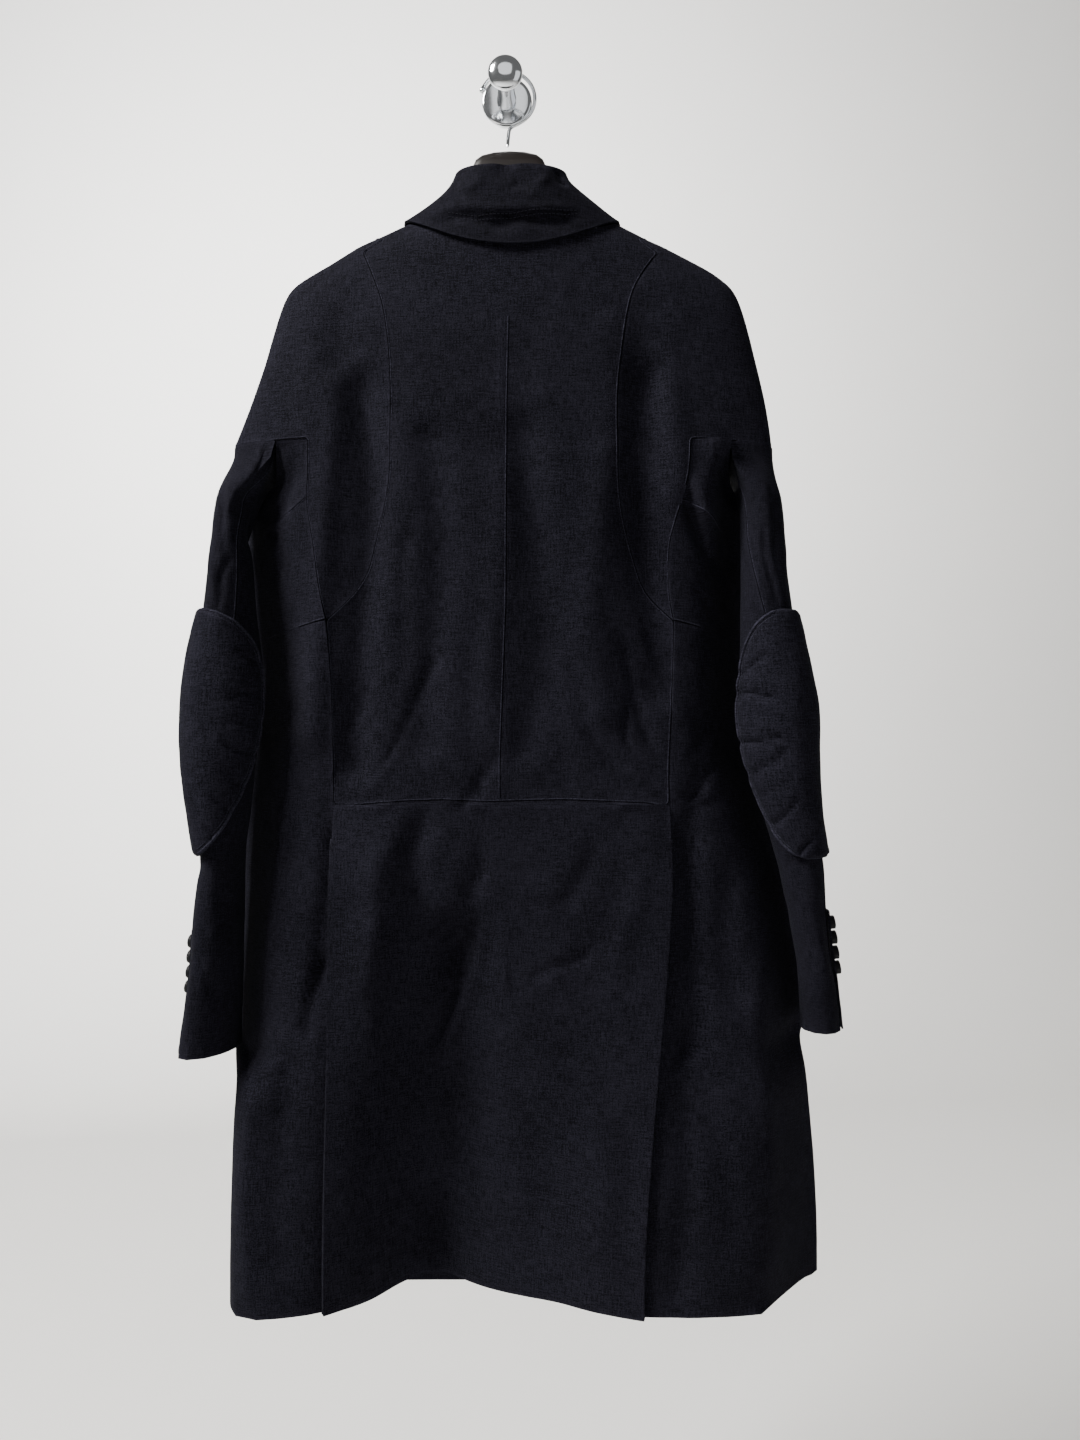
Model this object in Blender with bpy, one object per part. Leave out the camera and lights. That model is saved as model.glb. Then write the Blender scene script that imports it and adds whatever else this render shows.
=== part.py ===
"""Overcoat hung by its shoulders from a wooden hanger on a round wall hook, its back to the room.
Metres, +Z up, +Y into the wall, +X to the right. The origin is the middle of the wall plate's back face."""

import math

import bpy
import numpy as np

# Cloth
WALL = 0.002
SEAM = 0.0003
OVAL = 2.3
RIDGE_OFF = 0.050
SIDE_OFF = 0.045
CENTRE_X = 0.005
FRONT_LAP = 0.018
LAP_DEPTH = 0.003
BLEND_HEIGHT = 0.095
SLEEVE_BLEND_HEIGHT = 0.062
SKIRT_TOP_Z, HEM_Z = -0.715, -1.160
ARMPIT_HALF = 0.006

# Columns of the cloth between two seams
SLEEVE_COLS, UNDERARM_COLS, WEDGE_COLS, BACK_COLS = 5, 4, 4, 14
CROTCH_COLS, SHOULDER_FRONT_COLS, FRONT_COLS = 3, 4, 5

# Pleat
PLEAT_TURN = 0.0025
PLEAT_LIFT = 0.0070
PLEAT_UNDER = 0.0064
PLEAT_COLS = 2
PLEAT_ARC = 4
PLEAT_START = 0.055
PLEAT_SPREAD = 3.0

# Elbow patches, vents and buttons
PATCH_LIFT = 0.0018
PATCH_EDGE = 0.0020
PATCH_DOME = 0.0048
VENT_LIFT = 0.0008
VENT_WALL = 0.0016
CUFF_BUTTON_R = 0.0065
CUFF_BUTTON_H = 0.0042
FRONT_BUTTON_R = 0.0110
FRONT_BUTTON_H = 0.0026

# Wall hook, wire hook and hanger
PLATE_R, PLATE_H = 0.0250, 0.0060
KNOB_R, POST_R, HOOK_DROOP = 0.0170, 0.0079, 0.0700
WIRE_R, RING_R, RING_X, RING_OFF = 0.0020, 0.0260, 0.0022, 0.0380
HANGER_OFF = 0.0500


def table(columns, *rows):
    """A table with named columns, one row per section."""
    return {name: np.array([row[i] for row in rows], float) for i, name in enumerate(columns.split())}


def at(rows, name, z):
    """A table's column at height z, its rows going down."""
    return float(np.interp(-z, -rows["z"], rows[name]))


# Rings of the shoulders from the neck edge down to the underarm
CAPE = table(
    "left right z_side z_back z_front off_back off_front",
    (-0.0930, 0.1080, -0.1490, -0.1800, -0.2150, 0.0870, 0.0120),
    (-0.1235, 0.1350, -0.1630, -0.1950, -0.2280, 0.0880, 0.0120),
    (-0.1465, 0.1590, -0.1740, -0.2120, -0.2420, 0.0890, 0.0120),
    (-0.1690, 0.1860, -0.1880, -0.2320, -0.2560, 0.0900, 0.0120),
    (-0.1905, 0.2055, -0.2005, -0.2520, -0.2700, 0.0910, 0.0120),
    (-0.2060, 0.2190, -0.2145, -0.2700, -0.2840, 0.0920, 0.0120),
    (-0.2165, 0.2285, -0.2410, -0.2880, -0.2990, 0.0920, 0.0120),
    (-0.2255, 0.2365, -0.2720, -0.3060, -0.3140, 0.0920, 0.0120),
    (-0.2350, 0.2435, -0.3010, -0.3250, -0.3290, 0.0920, 0.0120),
    (-0.2455, 0.2495, -0.3300, -0.3420, -0.3440, 0.0915, 0.0120),
    (-0.2570, 0.2535, -0.3580, -0.3580, -0.3580, 0.0910, 0.0120),
)
# Rings of the collar: lower edge, fall, roll at the top and the turned-in stand
COLLAR = table(
    "left right z_side z_back z_front off_back off_front",
    (-0.0965, 0.1095, -0.1460, -0.1825, -0.2180, 0.0917, 0.0075),
    (-0.0760, 0.0915, -0.1340, -0.1560, -0.1880, 0.0905, 0.0120),
    (-0.0600, 0.0760, -0.1220, -0.1340, -0.1630, 0.0890, 0.0150),
    (-0.0515, 0.0635, -0.1110, -0.1170, -0.1450, 0.0850, 0.0180),
    (-0.0475, 0.0590, -0.1015, -0.1035, -0.1300, 0.0800, 0.0210),
    (-0.0418, 0.0533, -0.1015, -0.1035, -0.1300, 0.0743, 0.0267),
    (-0.0440, 0.0555, -0.1210, -0.1230, -0.1490, 0.0765, 0.0245),
)
# Body below the underarm: left edge, right edge, back and front away from the wall
BODY = table(
    "z left right off_back off_front",
    (-0.358, -0.2100, 0.2070, 0.0910, 0.0120),
    (-0.385, -0.2225, 0.2135, 0.0910, 0.0120),
    (-0.415, -0.2330, 0.2170, 0.0905, 0.0120),
    (-0.433, -0.2410, 0.2175, 0.0900, 0.0120),
    (-0.460, -0.2360, 0.2175, 0.0895, 0.0120),
    (-0.490, -0.2340, 0.2175, 0.0890, 0.0120),
    (-0.516, -0.2320, 0.2175, 0.0885, 0.0120),
    (-0.560, -0.2240, 0.2170, 0.0880, 0.0120),
    (-0.600, -0.2250, 0.2160, 0.0875, 0.0120),
    (-0.630, -0.2280, 0.2165, 0.0870, 0.0120),
    (-0.660, -0.2310, 0.2235, 0.0860, 0.0120),
    (-0.700, -0.2370, 0.2370, 0.0850, 0.0115),
    (-0.750, -0.2430, 0.2525, 0.0850, 0.0110),
    (-0.800, -0.2460, 0.2650, 0.0850, 0.0105),
    (-0.850, -0.2465, 0.2750, 0.0850, 0.0100),
    (-0.900, -0.2470, 0.2780, 0.0850, 0.0095),
    (-0.925, -0.2475, 0.2745, 0.0850, 0.0092),
    (-0.980, -0.2515, 0.2765, 0.0850, 0.0088),
    (-1.080, -0.2535, 0.2860, 0.0850, 0.0084),
    (-1.160, -0.2555, 0.3020, 0.0850, 0.0080),
)
# How far the sides run out behind the sleeves, and how fully they lie back towards the wall there
FLANK = table(
    "z left right flat",
    (-0.358, 0.0000, 0.0000, 0.00),
    (-0.372, 0.0000, 0.0000, 0.00),
    (-0.392, 0.0050, 0.0030, 0.45),
    (-0.427, 0.0355, 0.0209, 1.00),
    (-0.462, 0.0320, 0.0195, 1.00),
    (-0.480, 0.0255, 0.0175, 1.00),
    (-0.496, 0.0225, 0.0165, 1.00),
    (-0.560, 0.0220, 0.0155, 1.00),
    (-0.690, 0.0220, 0.0170, 1.00),
    (-0.750, 0.0190, 0.0175, 1.00),
    (-0.800, 0.0155, 0.0140, 1.00),
    (-0.860, 0.0170, 0.0145, 1.00),
    (-0.904, 0.0180, 0.0140, 1.00),
    (-0.924, 0.0140, 0.0000, 0.90),
    (-0.945, 0.0000, 0.0000, 0.00),
    (-1.160, 0.0000, 0.0000, 0.00),
)
FLANK_OFF, FLANK_REACH = 0.018, 0.038
FLANK_FRONT_OFF, FLANK_FRONT_REACH = 0.0125, 0.090
# Saddle seam, then the side-back seam under the point where both meet
SADDLE_LEFT = table(
    "z x",
    (-0.186, -0.133), (-0.209, -0.121), (-0.238, -0.111), (-0.275, -0.106), (-0.317, -0.104),
    (-0.366, -0.105), (-0.405, -0.110), (-0.447, -0.118), (-0.484, -0.128), (-0.506, -0.144),
    (-0.525, -0.164), (-0.591, -0.159), (-0.695, -0.158),
)
SADDLE_RIGHT = table(
    "z x",
    (-0.183, 0.143), (-0.206, 0.125), (-0.243, 0.113), (-0.297, 0.106), (-0.327, 0.104), (-0.373, 0.105),
    (-0.418, 0.108), (-0.462, 0.117), (-0.499, 0.132), (-0.525, 0.157), (-0.563, 0.157), (-0.678, 0.152),
    (-0.695, 0.153),
)
# Side-back seam above that point, beside the underarm piece
SIDE_LEFT = table(
    "z x",
    (-0.358, -0.181), (-0.408, -0.185), (-0.450, -0.177), (-0.509, -0.168), (-0.525, -0.164),
)
SIDE_RIGHT = table(
    "z x",
    (-0.358, 0.172), (-0.409, 0.161), (-0.460, 0.152), (-0.495, 0.152), (-0.525, 0.157),
)
# Heights of the body's rows, and how far each drops at the side
ROWS = table(
    "z slant",
    (-0.358, 0.0), (-0.375, 0.017), (-0.392, 0.035), (-0.410, 0.052), (-0.430, 0.050), (-0.452, 0.044),
    (-0.476, 0.036), (-0.500, 0.029), (-0.525, 0.023), (-0.553, 0.012), (-0.581, 0.004), (-0.609, 0.0),
    (-0.637, 0.0), (-0.666, 0.0), (-0.695, 0.0), (-0.727, 0.0), (-0.762, 0.0), (-0.800, 0.0), (-0.838, 0.0),
    (-0.876, 0.0), (-0.904, 0.0), (-0.924, 0.0), (-0.952, 0.0), (-0.990, 0.0), (-1.028, 0.0), (-1.066, 0.0),
    (-1.100, 0.0), (-1.131, 0.0), (-1.160, 0.0),
)
GUSSET_ROW, MERGE_ROW, WAIST_ROW = 3, 8, 14
SLIT_RING = 4
FRONT_HEM_DROP = 0.012
# Plan of the hem along the back, left corner to right corner
HEM = table(
    "x off",
    (-0.2555, 0.072), (-0.243, 0.093), (-0.2285, 0.098), (-0.182, 0.092), (-0.166, 0.084), (-0.154, 0.075),
    (-0.1245, 0.057), (-0.101, 0.035), (-0.087, 0.029), (-0.067, 0.029), (-0.040, 0.037), (-0.006, 0.051),
    (0.014, 0.058), (0.046, 0.067), (0.083, 0.081), (0.1265, 0.092), (0.185, 0.094), (0.2345, 0.089),
    (0.258, 0.072), (0.279, 0.038), (0.288, 0.024), (0.302, 0.018),
)
HEM_PLEAT_LEFT, HEM_PLEAT_RIGHT = -0.166, 0.1265
# Sleeves: outer and inner edge, near and far side off the wall, lean of the section, turn of the seams
SLEEVE_LEFT = table(
    "z outer inner near far lean turn",
    (-0.360, -0.2590, -0.2150, 0.0820, 0.0140, 0, 0),
    (-0.385, -0.2755, -0.2276, 0.0860, 0.0150, 0, -8),
    (-0.415, -0.2715, -0.2365, 0.0900, 0.0250, 0, -20),
    (-0.450, -0.2695, -0.2389, 0.0940, 0.0360, 0, -30),
    (-0.480, -0.2765, -0.2361, 0.0950, 0.0380, 0, -33),
    (-0.520, -0.2806, -0.2333, 0.0950, 0.0380, 0, -42),
    (-0.560, -0.2908, -0.2270, 0.0940, 0.0380, 0, -60),
    (-0.600, -0.2955, -0.2277, 0.0940, 0.0380, 0, -80),
    (-0.640, -0.2963, -0.2317, 0.0940, 0.0380, 0, -98),
    (-0.690, -0.2892, -0.2383, 0.0940, 0.0380, -8, -113),
    (-0.740, -0.2805, -0.2449, 0.0940, 0.0380, -12, -125),
    (-0.800, -0.2870, -0.2465, 0.0950, 0.0370, -16, -131),
    (-0.860, -0.2910, -0.2488, 0.0960, 0.0360, -20, -135),
    (-0.925, -0.3005, -0.2515, 0.0970, 0.0340, -24, -137),
)
SLEEVE_RIGHT = table(
    "z outer inner near far lean turn",
    (-0.360, 0.2565, 0.2150, 0.0820, 0.0140, 0, 0),
    (-0.385, 0.2596, 0.2202, 0.0860, 0.0150, 0, -5),
    (-0.420, 0.2590, 0.2220, 0.0900, 0.0260, 0, -12),
    (-0.450, 0.2595, 0.2215, 0.0930, 0.0360, 0, -15),
    (-0.480, 0.2632, 0.2213, 0.0950, 0.0380, 0, -32),
    (-0.516, 0.2680, 0.2209, 0.0960, 0.0380, 0, -55),
    (-0.560, 0.2766, 0.2200, 0.0970, 0.0380, 0, -75),
    (-0.600, 0.2862, 0.2191, 0.0970, 0.0380, 0, -90),
    (-0.630, 0.2865, 0.2207, 0.0970, 0.0380, 0, -102),
    (-0.660, 0.2865, 0.2277, 0.0970, 0.0380, 0, -110),
    (-0.700, 0.2885, 0.2406, 0.0960, 0.0380, 0, -120),
    (-0.750, 0.2975, 0.2560, 0.0940, 0.0370, 0, -125),
    (-0.800, 0.3015, 0.2665, 0.0900, 0.0370, 0, -130),
    (-0.850, 0.3080, 0.2762, 0.0860, 0.0370, 0, -132),
    (-0.907, 0.3160, 0.2790, 0.0800, 0.0350, 0, -134),
)
SLEEVE_ROWS = (
    -0.358, -0.373, -0.389, -0.407, -0.428, -0.451, -0.476, -0.504, -0.533, -0.562, -0.591,
    -0.620, -0.650, -0.680, -0.710, -0.740, -0.770, -0.800, -0.830, -0.860, -0.892, -0.925,
)
CUFF_Z = {"left": -0.925, "right": -0.907}
SLEEVES = {"left": SLEEVE_LEFT, "right": SLEEVE_RIGHT}
# Largest folds of the back: a line from upper to lower end, half width, depth (a trough is below zero)
FOLDS = table(
    "x_up z_up x_low z_low width depth",
    (-0.152, -0.255, -0.150, -0.515, 0.017, -0.0065),
    (0.128, -0.255, 0.132, -0.515, 0.016, -0.0065),
    (0.018, -0.250, 0.012, -0.600, 0.013, -0.0018),
    (-0.070, -0.300, -0.060, -0.640, 0.030, 0.0015),
    (0.166, -0.408, 0.212, -0.505, 0.010, -0.0110),
    (0.108, -0.550, 0.136, -0.640, 0.013, -0.0030),
    (-0.120, -0.620, -0.085, -0.690, 0.014, -0.0020),
    (-0.174, -0.780, -0.176, -0.930, 0.011, -0.0050),
    (-0.108, -0.700, -0.132, -0.930, 0.026, 0.0050),
    (-0.035, -0.800, -0.075, -0.960, 0.022, -0.0060),
    (0.060, -0.720, 0.030, -1.000, 0.030, 0.0030),
    (0.170, -0.700, 0.180, -0.980, 0.018, -0.0040),
    (0.215, -0.650, 0.225, -0.900, 0.018, 0.0030),
)
# Elbow patches: angle of the inner and outer edge round the sleeve, 0 degrees facing the room
PATCHES = {
    "left": table(
        "z inner outer",
        (-0.5150, -32, -68), (-0.5175, -12, -80), (-0.5215, 10, -86), (-0.529, 34, -91), (-0.546, 60, -95),
        (-0.575, 78, -97), (-0.610, 82, -98), (-0.645, 76, -98), (-0.678, 61, -98), (-0.704, 40, -96),
        (-0.722, 18, -93), (-0.733, -4, -88), (-0.7390, -24, -82), (-0.7415, -40, -74),
    ),
    "right": table(
        "z inner outer",
        (-0.5165, -12, -64), (-0.5190, 6, -76), (-0.5245, 24, -84), (-0.534, 42, -90), (-0.552, 62, -95),
        (-0.580, 78, -97), (-0.612, 84, -98), (-0.645, 83, -97), (-0.680, 78, -95), (-0.706, 66, -92),
        (-0.724, 50, -87), (-0.735, 32, -80), (-0.7405, 16, -70), (-0.7430, 0, -58),
    ),
}
PATCH_COLS = 9
VENT_TOP = {"left": -0.812, "right": -0.795}
VENT_ANGLES = (-72.0, -88.0, -104.0)
BUTTON_STEP = 0.0142
FRONT_BUTTON_Z = (-0.300, -0.410, -0.520, -0.630, -0.740)
# Top line of the hanger from end to end, with the half height and half thickness of its section
HANGER = table(
    "x top high thick",
    (-0.2000, -0.2200, 0.0060, 0.0060),
    (-0.1960, -0.2125, 0.0120, 0.0110),
    (-0.1850, -0.2040, 0.0160, 0.0140),
    (-0.1500, -0.1810, 0.0180, 0.0150),
    (-0.1250, -0.1685, 0.0185, 0.0140),
    (-0.0930, -0.1570, 0.0190, 0.0120),
    (-0.0720, -0.1470, 0.0200, 0.0110),
    (-0.0520, -0.1370, 0.0210, 0.0105),
    (-0.0365, -0.1150, 0.0240, 0.0100),
    (-0.0310, -0.0868, 0.0300, 0.0095),
    (-0.0260, -0.0773, 0.0340, 0.0090),
    (0.0035, -0.0725, 0.0370, 0.0090),
    (0.0340, -0.0763, 0.0345, 0.0090),
    (0.0385, -0.0868, 0.0300, 0.0095),
    (0.0465, -0.1150, 0.0240, 0.0100),
    (0.0640, -0.1370, 0.0210, 0.0105),
    (0.0840, -0.1470, 0.0200, 0.0110),
    (0.1050, -0.1570, 0.0190, 0.0120),
    (0.1300, -0.1662, 0.0185, 0.0140),
    (0.1560, -0.1775, 0.0180, 0.0150),
    (0.1900, -0.1985, 0.0160, 0.0140),
    (0.2010, -0.2080, 0.0120, 0.0110),
    (0.2050, -0.2160, 0.0060, 0.0060),
)

CLOTH = ("overcoat_cloth", (0.020, 0.021, 0.027), 0.92, 0.0)
PATCH = ("patch_cloth", (0.022, 0.023, 0.030), 0.90, 0.0)
BUTTON = ("covered_button", (0.010, 0.010, 0.012), 0.55, 0.0)
WOOD = ("dark_wood", (0.030, 0.019, 0.015), 0.38, 0.0)
CHROME = ("chrome", (0.78, 0.78, 0.79), 0.12, 1.0)


def smoothstep(t):
    t = min(max(t, 0.0), 1.0)
    return t * t * (3 - 2 * t)


def unit(vector):
    return vector / max(float(np.linalg.norm(vector)), 1e-12)


def oval_angle(x, left, right):
    """The angle of an oval that runs from left to right at which it stands at x."""
    u = (x - (left + right) / 2) / ((right - left) / 2)
    return math.copysign(math.asin(min(abs(u), 1.0) ** (OVAL / 2)), u)


def oval(angle, left, right, off_edge, off_mid):
    """(x, off, share of the half width) on that oval at an angle."""
    u = math.copysign(abs(math.sin(angle)) ** (2 / OVAL), angle)
    v = abs(math.cos(angle)) ** (2 / OVAL)
    return (left + right) / 2 + (right - left) / 2 * u, off_edge + (off_mid - off_edge) * v, u


def fold_depth(x, z):
    """What the folds add to the cloth's distance from the wall."""
    total = 0.0
    for i in range(len(FOLDS["width"])):
        low, up = FOLDS["z_low"][i], FOLDS["z_up"][i]
        t = (up - z) / (up - low)
        line = FOLDS["x_up"][i] + (FOLDS["x_low"][i] - FOLDS["x_up"][i]) * min(max(t, 0.0), 1.0)
        ends = smoothstep((up + 0.04 - z) / 0.08) * smoothstep((z - low + 0.05) / 0.10)
        total += FOLDS["depth"][i] * ends * math.exp(-(((x - line) / FOLDS["width"][i]) ** 2))
    return total


def cape_point(rings, ring, angle, back):
    """A point of a shoulder or collar ring, on its back or its front half."""
    row = {name: values[ring] for name, values in rings.items()}
    middle = row["off_back"] if back else row["off_front"]
    edge = RIDGE_OFF if rings is CAPE else RIDGE_OFF / 2 + (row["off_back"] + row["off_front"]) / 4
    x, off, u = oval(angle, row["left"], row["right"], edge, middle)
    z_middle = row["z_back"] if back else row["z_front"]
    z = z_middle + (row["z_side"] - z_middle) * u * u
    if back and rings is CAPE:
        off += fold_depth(x, z) * math.cos(angle)
    return np.array((x, -off, z))


def seam_angle(seam, ring):
    """The angle of a shoulder ring at which it meets a seam."""
    left, right = CAPE["left"][ring], CAPE["right"][ring]
    most = oval_angle((left + right) / 2 + (right - left) / 2 * 0.93, left, right)
    angle = oval_angle(seam["x"][4], left, right)
    for _ in range(12):
        z = cape_point(CAPE, ring, max(-most, min(most, angle)), True)[2]
        angle = (angle + oval_angle(at(seam, "x", z), left, right)) / 2
    return max(-most, min(most, angle))


def spread(*stops):
    """Angles spread evenly between stops; each stop is (angle, columns up to the next)."""
    angles = []
    for (start, count), (end, _) in zip(stops, stops[1:]):
        angles += [start + (end - start) * i / count for i in range(count)]
    return angles + [stops[-1][0]]


PINCH_LEFT, PINCH_RIGHT = -0.2115, 0.2095
LAST_RING = len(CAPE["left"]) - 1
EDGE = math.pi / 2
# Back columns at which a seam or the underarm stands
B_PINCH = SLEEVE_COLS
B_SIDE = B_PINCH + UNDERARM_COLS
B_SADDLE = B_SIDE + WEDGE_COLS
B_SADDLE_R = B_SADDLE + BACK_COLS
B_SIDE_R = B_SADDLE_R + WEDGE_COLS
B_PINCH_R = B_SIDE_R + UNDERARM_COLS
B_END = B_PINCH_R + SLEEVE_COLS
B_CENTRE = B_SADDLE + BACK_COLS // 2
F_PINCH = SHOULDER_FRONT_COLS
F_END = F_PINCH + FRONT_COLS


def cape_back_angles(ring):
    left, right = CAPE["left"][ring], CAPE["right"][ring]
    share = ring / LAST_RING
    angles = {}
    for seam, pinch, side, edge in (
        (SADDLE_LEFT, PINCH_LEFT, SIDE_LEFT, -EDGE),
        (SADDLE_RIGHT, PINCH_RIGHT, SIDE_RIGHT, EDGE),
    ):
        saddle = seam_angle(seam, ring)
        last_left, last_right = CAPE["left"][LAST_RING], CAPE["right"][LAST_RING]
        last = seam_angle(seam, LAST_RING)
        at_pinch = (oval_angle(pinch, last_left, last_right) - edge) / (last - edge)
        at_side = (oval_angle(side["x"][0], last_left, last_right) - edge) / (last - edge)
        even = SLEEVE_COLS + UNDERARM_COLS + WEDGE_COLS
        at_pinch = at_pinch * share + SLEEVE_COLS / even * (1 - share)
        at_side = at_side * share + (SLEEVE_COLS + UNDERARM_COLS) / even * (1 - share)
        angles[edge] = (edge + (saddle - edge) * at_pinch, edge + (saddle - edge) * at_side, saddle)
    pinch, side, saddle = angles[-EDGE]
    pinch_r, side_r, saddle_r = angles[EDGE]
    return spread(
        (-EDGE, SLEEVE_COLS), (pinch, UNDERARM_COLS), (side, WEDGE_COLS), (saddle, BACK_COLS),
        (saddle_r, WEDGE_COLS), (side_r, UNDERARM_COLS), (pinch_r, SLEEVE_COLS), (EDGE, 0),
    )


def lapped(side, x, off):
    """The two fronts cross at the middle, the right one behind the left one."""
    if side == "right":
        off += LAP_DEPTH * smoothstep((CENTRE_X + 0.075 - x) / 0.035)
    return off


def cape_front_points(ring, side):
    left, right = CAPE["left"][ring], CAPE["right"][ring]
    share = ring / LAST_RING
    sign = -1 if side == "left" else 1
    pinch = oval_angle(PINCH_LEFT if side == "left" else PINCH_RIGHT, CAPE["left"][-1], CAPE["right"][-1])
    pinch = pinch * share + sign * EDGE * 0.55 * (1 - share)
    stop = oval_angle(CENTRE_X - sign * FRONT_LAP, left, right)
    points = []
    for angle in spread((sign * EDGE, SHOULDER_FRONT_COLS), (pinch, FRONT_COLS), (stop, 0)):
        point = cape_point(CAPE, ring, angle, False)
        point[1] = -lapped(side, point[0], -point[1])
        points.append(point)
    return points


def body_back(angle, z):
    left, right = at(BODY, "left", z), at(BODY, "right", z)
    x, off, _ = oval(angle, left, right, SIDE_OFF, at(BODY, "off_back", z))
    return x, off


def flank(x, z, back):
    """How far a point of the side runs out behind the sleeve, and how fully it lies back there."""
    shift, lie = 0.0, 0.0
    for side, sign in (("left", -1), ("right", 1)):
        near = 1 - sign * (at(BODY, side, z) - x) / (FLANK_REACH if back else FLANK_FRONT_REACH)
        if near > 0:
            near = min(near, 1.0)
            shift = sign * at(FLANK, side, z) * near ** 1.5
            lie = near ** (1.5 if back else 0.5) * at(FLANK, "flat", z)
    return shift, lie


def run_out(point, shift, lie, wall_off):
    point[0] += shift
    point[1] += (-wall_off - point[1]) * lie
    return point


def hem_x(column):
    """Where each back column meets the hem."""
    stops = (B_PINCH, B_SIDE, B_SADDLE, B_SADDLE_R, B_SIDE_R, B_PINCH_R)
    xs = (HEM["x"][0], HEM_PLEAT_LEFT, HEM_PLEAT_LEFT, HEM_PLEAT_RIGHT, HEM_PLEAT_RIGHT, HEM["x"][-1])
    x = float(np.interp(column, stops, xs))
    if column < B_SIDE:
        t = (column - B_PINCH) / UNDERARM_COLS
        x = xs[0] + (xs[1] - xs[0]) * t ** 1.5
    if column > B_SIDE_R:
        t = (B_PINCH_R - column) / UNDERARM_COLS
        x = xs[5] + (xs[3] - xs[5]) * t ** 1.4
    return x


def row_z(row, share):
    return float(ROWS["z"][row] - ROWS["slant"][row] * share)


def body_blend(row):
    return smoothstep((ROWS["z"][0] - ROWS["z"][row]) / BLEND_HEIGHT)


def skirt_share(z):
    return smoothstep((SKIRT_TOP_Z - z) / (SKIRT_TOP_Z - HEM_Z))


def body_back_point(row, column, start):
    """A point of the body's back half; start is the point of its column in the underarm ring."""
    share = 0.0
    if column < B_SIDE:
        share = (B_SIDE - column) / UNDERARM_COLS
    if column > B_SIDE_R:
        share = (column - B_SIDE_R) / UNDERARM_COLS
    z = row_z(row, share)
    left, right = at(BODY, "left", z), at(BODY, "right", z)
    saddle, saddle_r = at(SADDLE_LEFT, "x", z), at(SADDLE_RIGHT, "x", z)
    side = at(SIDE_LEFT, "x", z) if row < MERGE_ROW else saddle
    side_r = at(SIDE_RIGHT, "x", z) if row < MERGE_ROW else saddle_r
    angles = [oval_angle(x, left, right) for x in (side, saddle, saddle_r, side_r)]
    stops = (B_PINCH, B_SIDE, B_SADDLE, B_SADDLE_R, B_SIDE_R, B_PINCH_R)
    angle = float(np.interp(column, stops, (-EDGE, *angles, EDGE)))
    x, off = body_back(angle, z)
    shift, lie = flank(x, z, True)
    skirt = skirt_share(z)
    target = hem_x(column)
    x += (target - x) * skirt
    off += (float(np.interp(target, HEM["x"], HEM["off"])) - off) * skirt
    off += fold_depth(x, z) * max(math.cos(angle), 0.0)
    blend = body_blend(row)
    point = np.array((start[0] + (x - start[0]) * blend, start[1] + (-off - start[1]) * blend, z))
    return run_out(point, shift, lie, FLANK_OFF)


CROTCH_ANGLES = (math.radians(78), math.radians(64), math.radians(50))
HEM_CORNER = {
    "left": ((-0.2595, 0.046), (-0.2575, 0.020), (-0.2440, 0.0085)),
    "right": ((0.3065, 0.0150), (0.3030, 0.0100), (0.2900, 0.0082)),
}


def body_side_point(row, side, step, start):
    """Points round the side: the first two stand under the armhole, then the front goes on to the lap."""
    sign = -1 if side == "left" else 1
    last = CROTCH_COLS - 1
    share = 1.0 if step <= last else 1.0 - (step - last) / FRONT_COLS
    z = row_z(row, share)
    left, right = at(BODY, "left", z), at(BODY, "right", z)
    if step <= last:
        angle = sign * CROTCH_ANGLES[step]
    else:
        stop = oval_angle(CENTRE_X - sign * FRONT_LAP, left, right)
        angle = sign * CROTCH_ANGLES[last]
        angle += (stop - angle) * (step - last) / FRONT_COLS
    x, off, _ = oval(angle, left, right, SIDE_OFF, at(BODY, "off_front", z))
    shift, lie = flank(x, z, False)
    skirt = skirt_share(z)
    corner = HEM_CORNER[side]
    if step <= last:
        target = corner[step]
    else:
        t = (step - last) / FRONT_COLS
        target = (corner[last][0] + (CENTRE_X - sign * FRONT_LAP - corner[last][0]) * t, corner[last][1])
    x += (target[0] - x) * skirt
    off += (target[1] - off) * skirt
    if step > last:
        off = lapped(side, x, off)
    if row == len(ROWS["z"]) - 1:
        z -= FRONT_HEM_DROP * min(step / last, 1.0)
    blend = body_blend(row)
    point = np.array((start[0] + (x - start[0]) * blend, start[1] + (-off - start[1]) * blend, z))
    return run_out(point, shift, lie, FLANK_FRONT_OFF)


def sleeve_point(side, degrees, z, out=0.0):
    """A point round a sleeve: 0 degrees faces the room, +90 the body, 180 the wall, -90 outwards."""
    rows = SLEEVES[side]
    outer, inner = at(rows, "outer", z), at(rows, "inner", z)
    near, far = at(rows, "near", z), at(rows, "far", z)
    angle, lean = math.radians(degrees), math.radians(at(rows, "lean", z))
    x = (outer + inner) / 2 + (inner - outer) / 2 * math.sin(angle + lean)
    off = (near + far) / 2 + (near - far) / 2 * math.cos(angle)
    point = np.array((x, -off, z))
    if out:
        step = 0.5
        turn = sleeve_point(side, degrees + step, z) - sleeve_point(side, degrees - step, z)
        down = sleeve_point(side, degrees, z - 0.004) - sleeve_point(side, degrees, z + 0.004)
        normal = unit(np.cross(turn, down))
        middle = np.array(((outer + inner) / 2, -(near + far) / 2, z))
        point = point + normal * out * (1 if np.dot(normal, point - middle) > 0 else -1)
    return point


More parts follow.
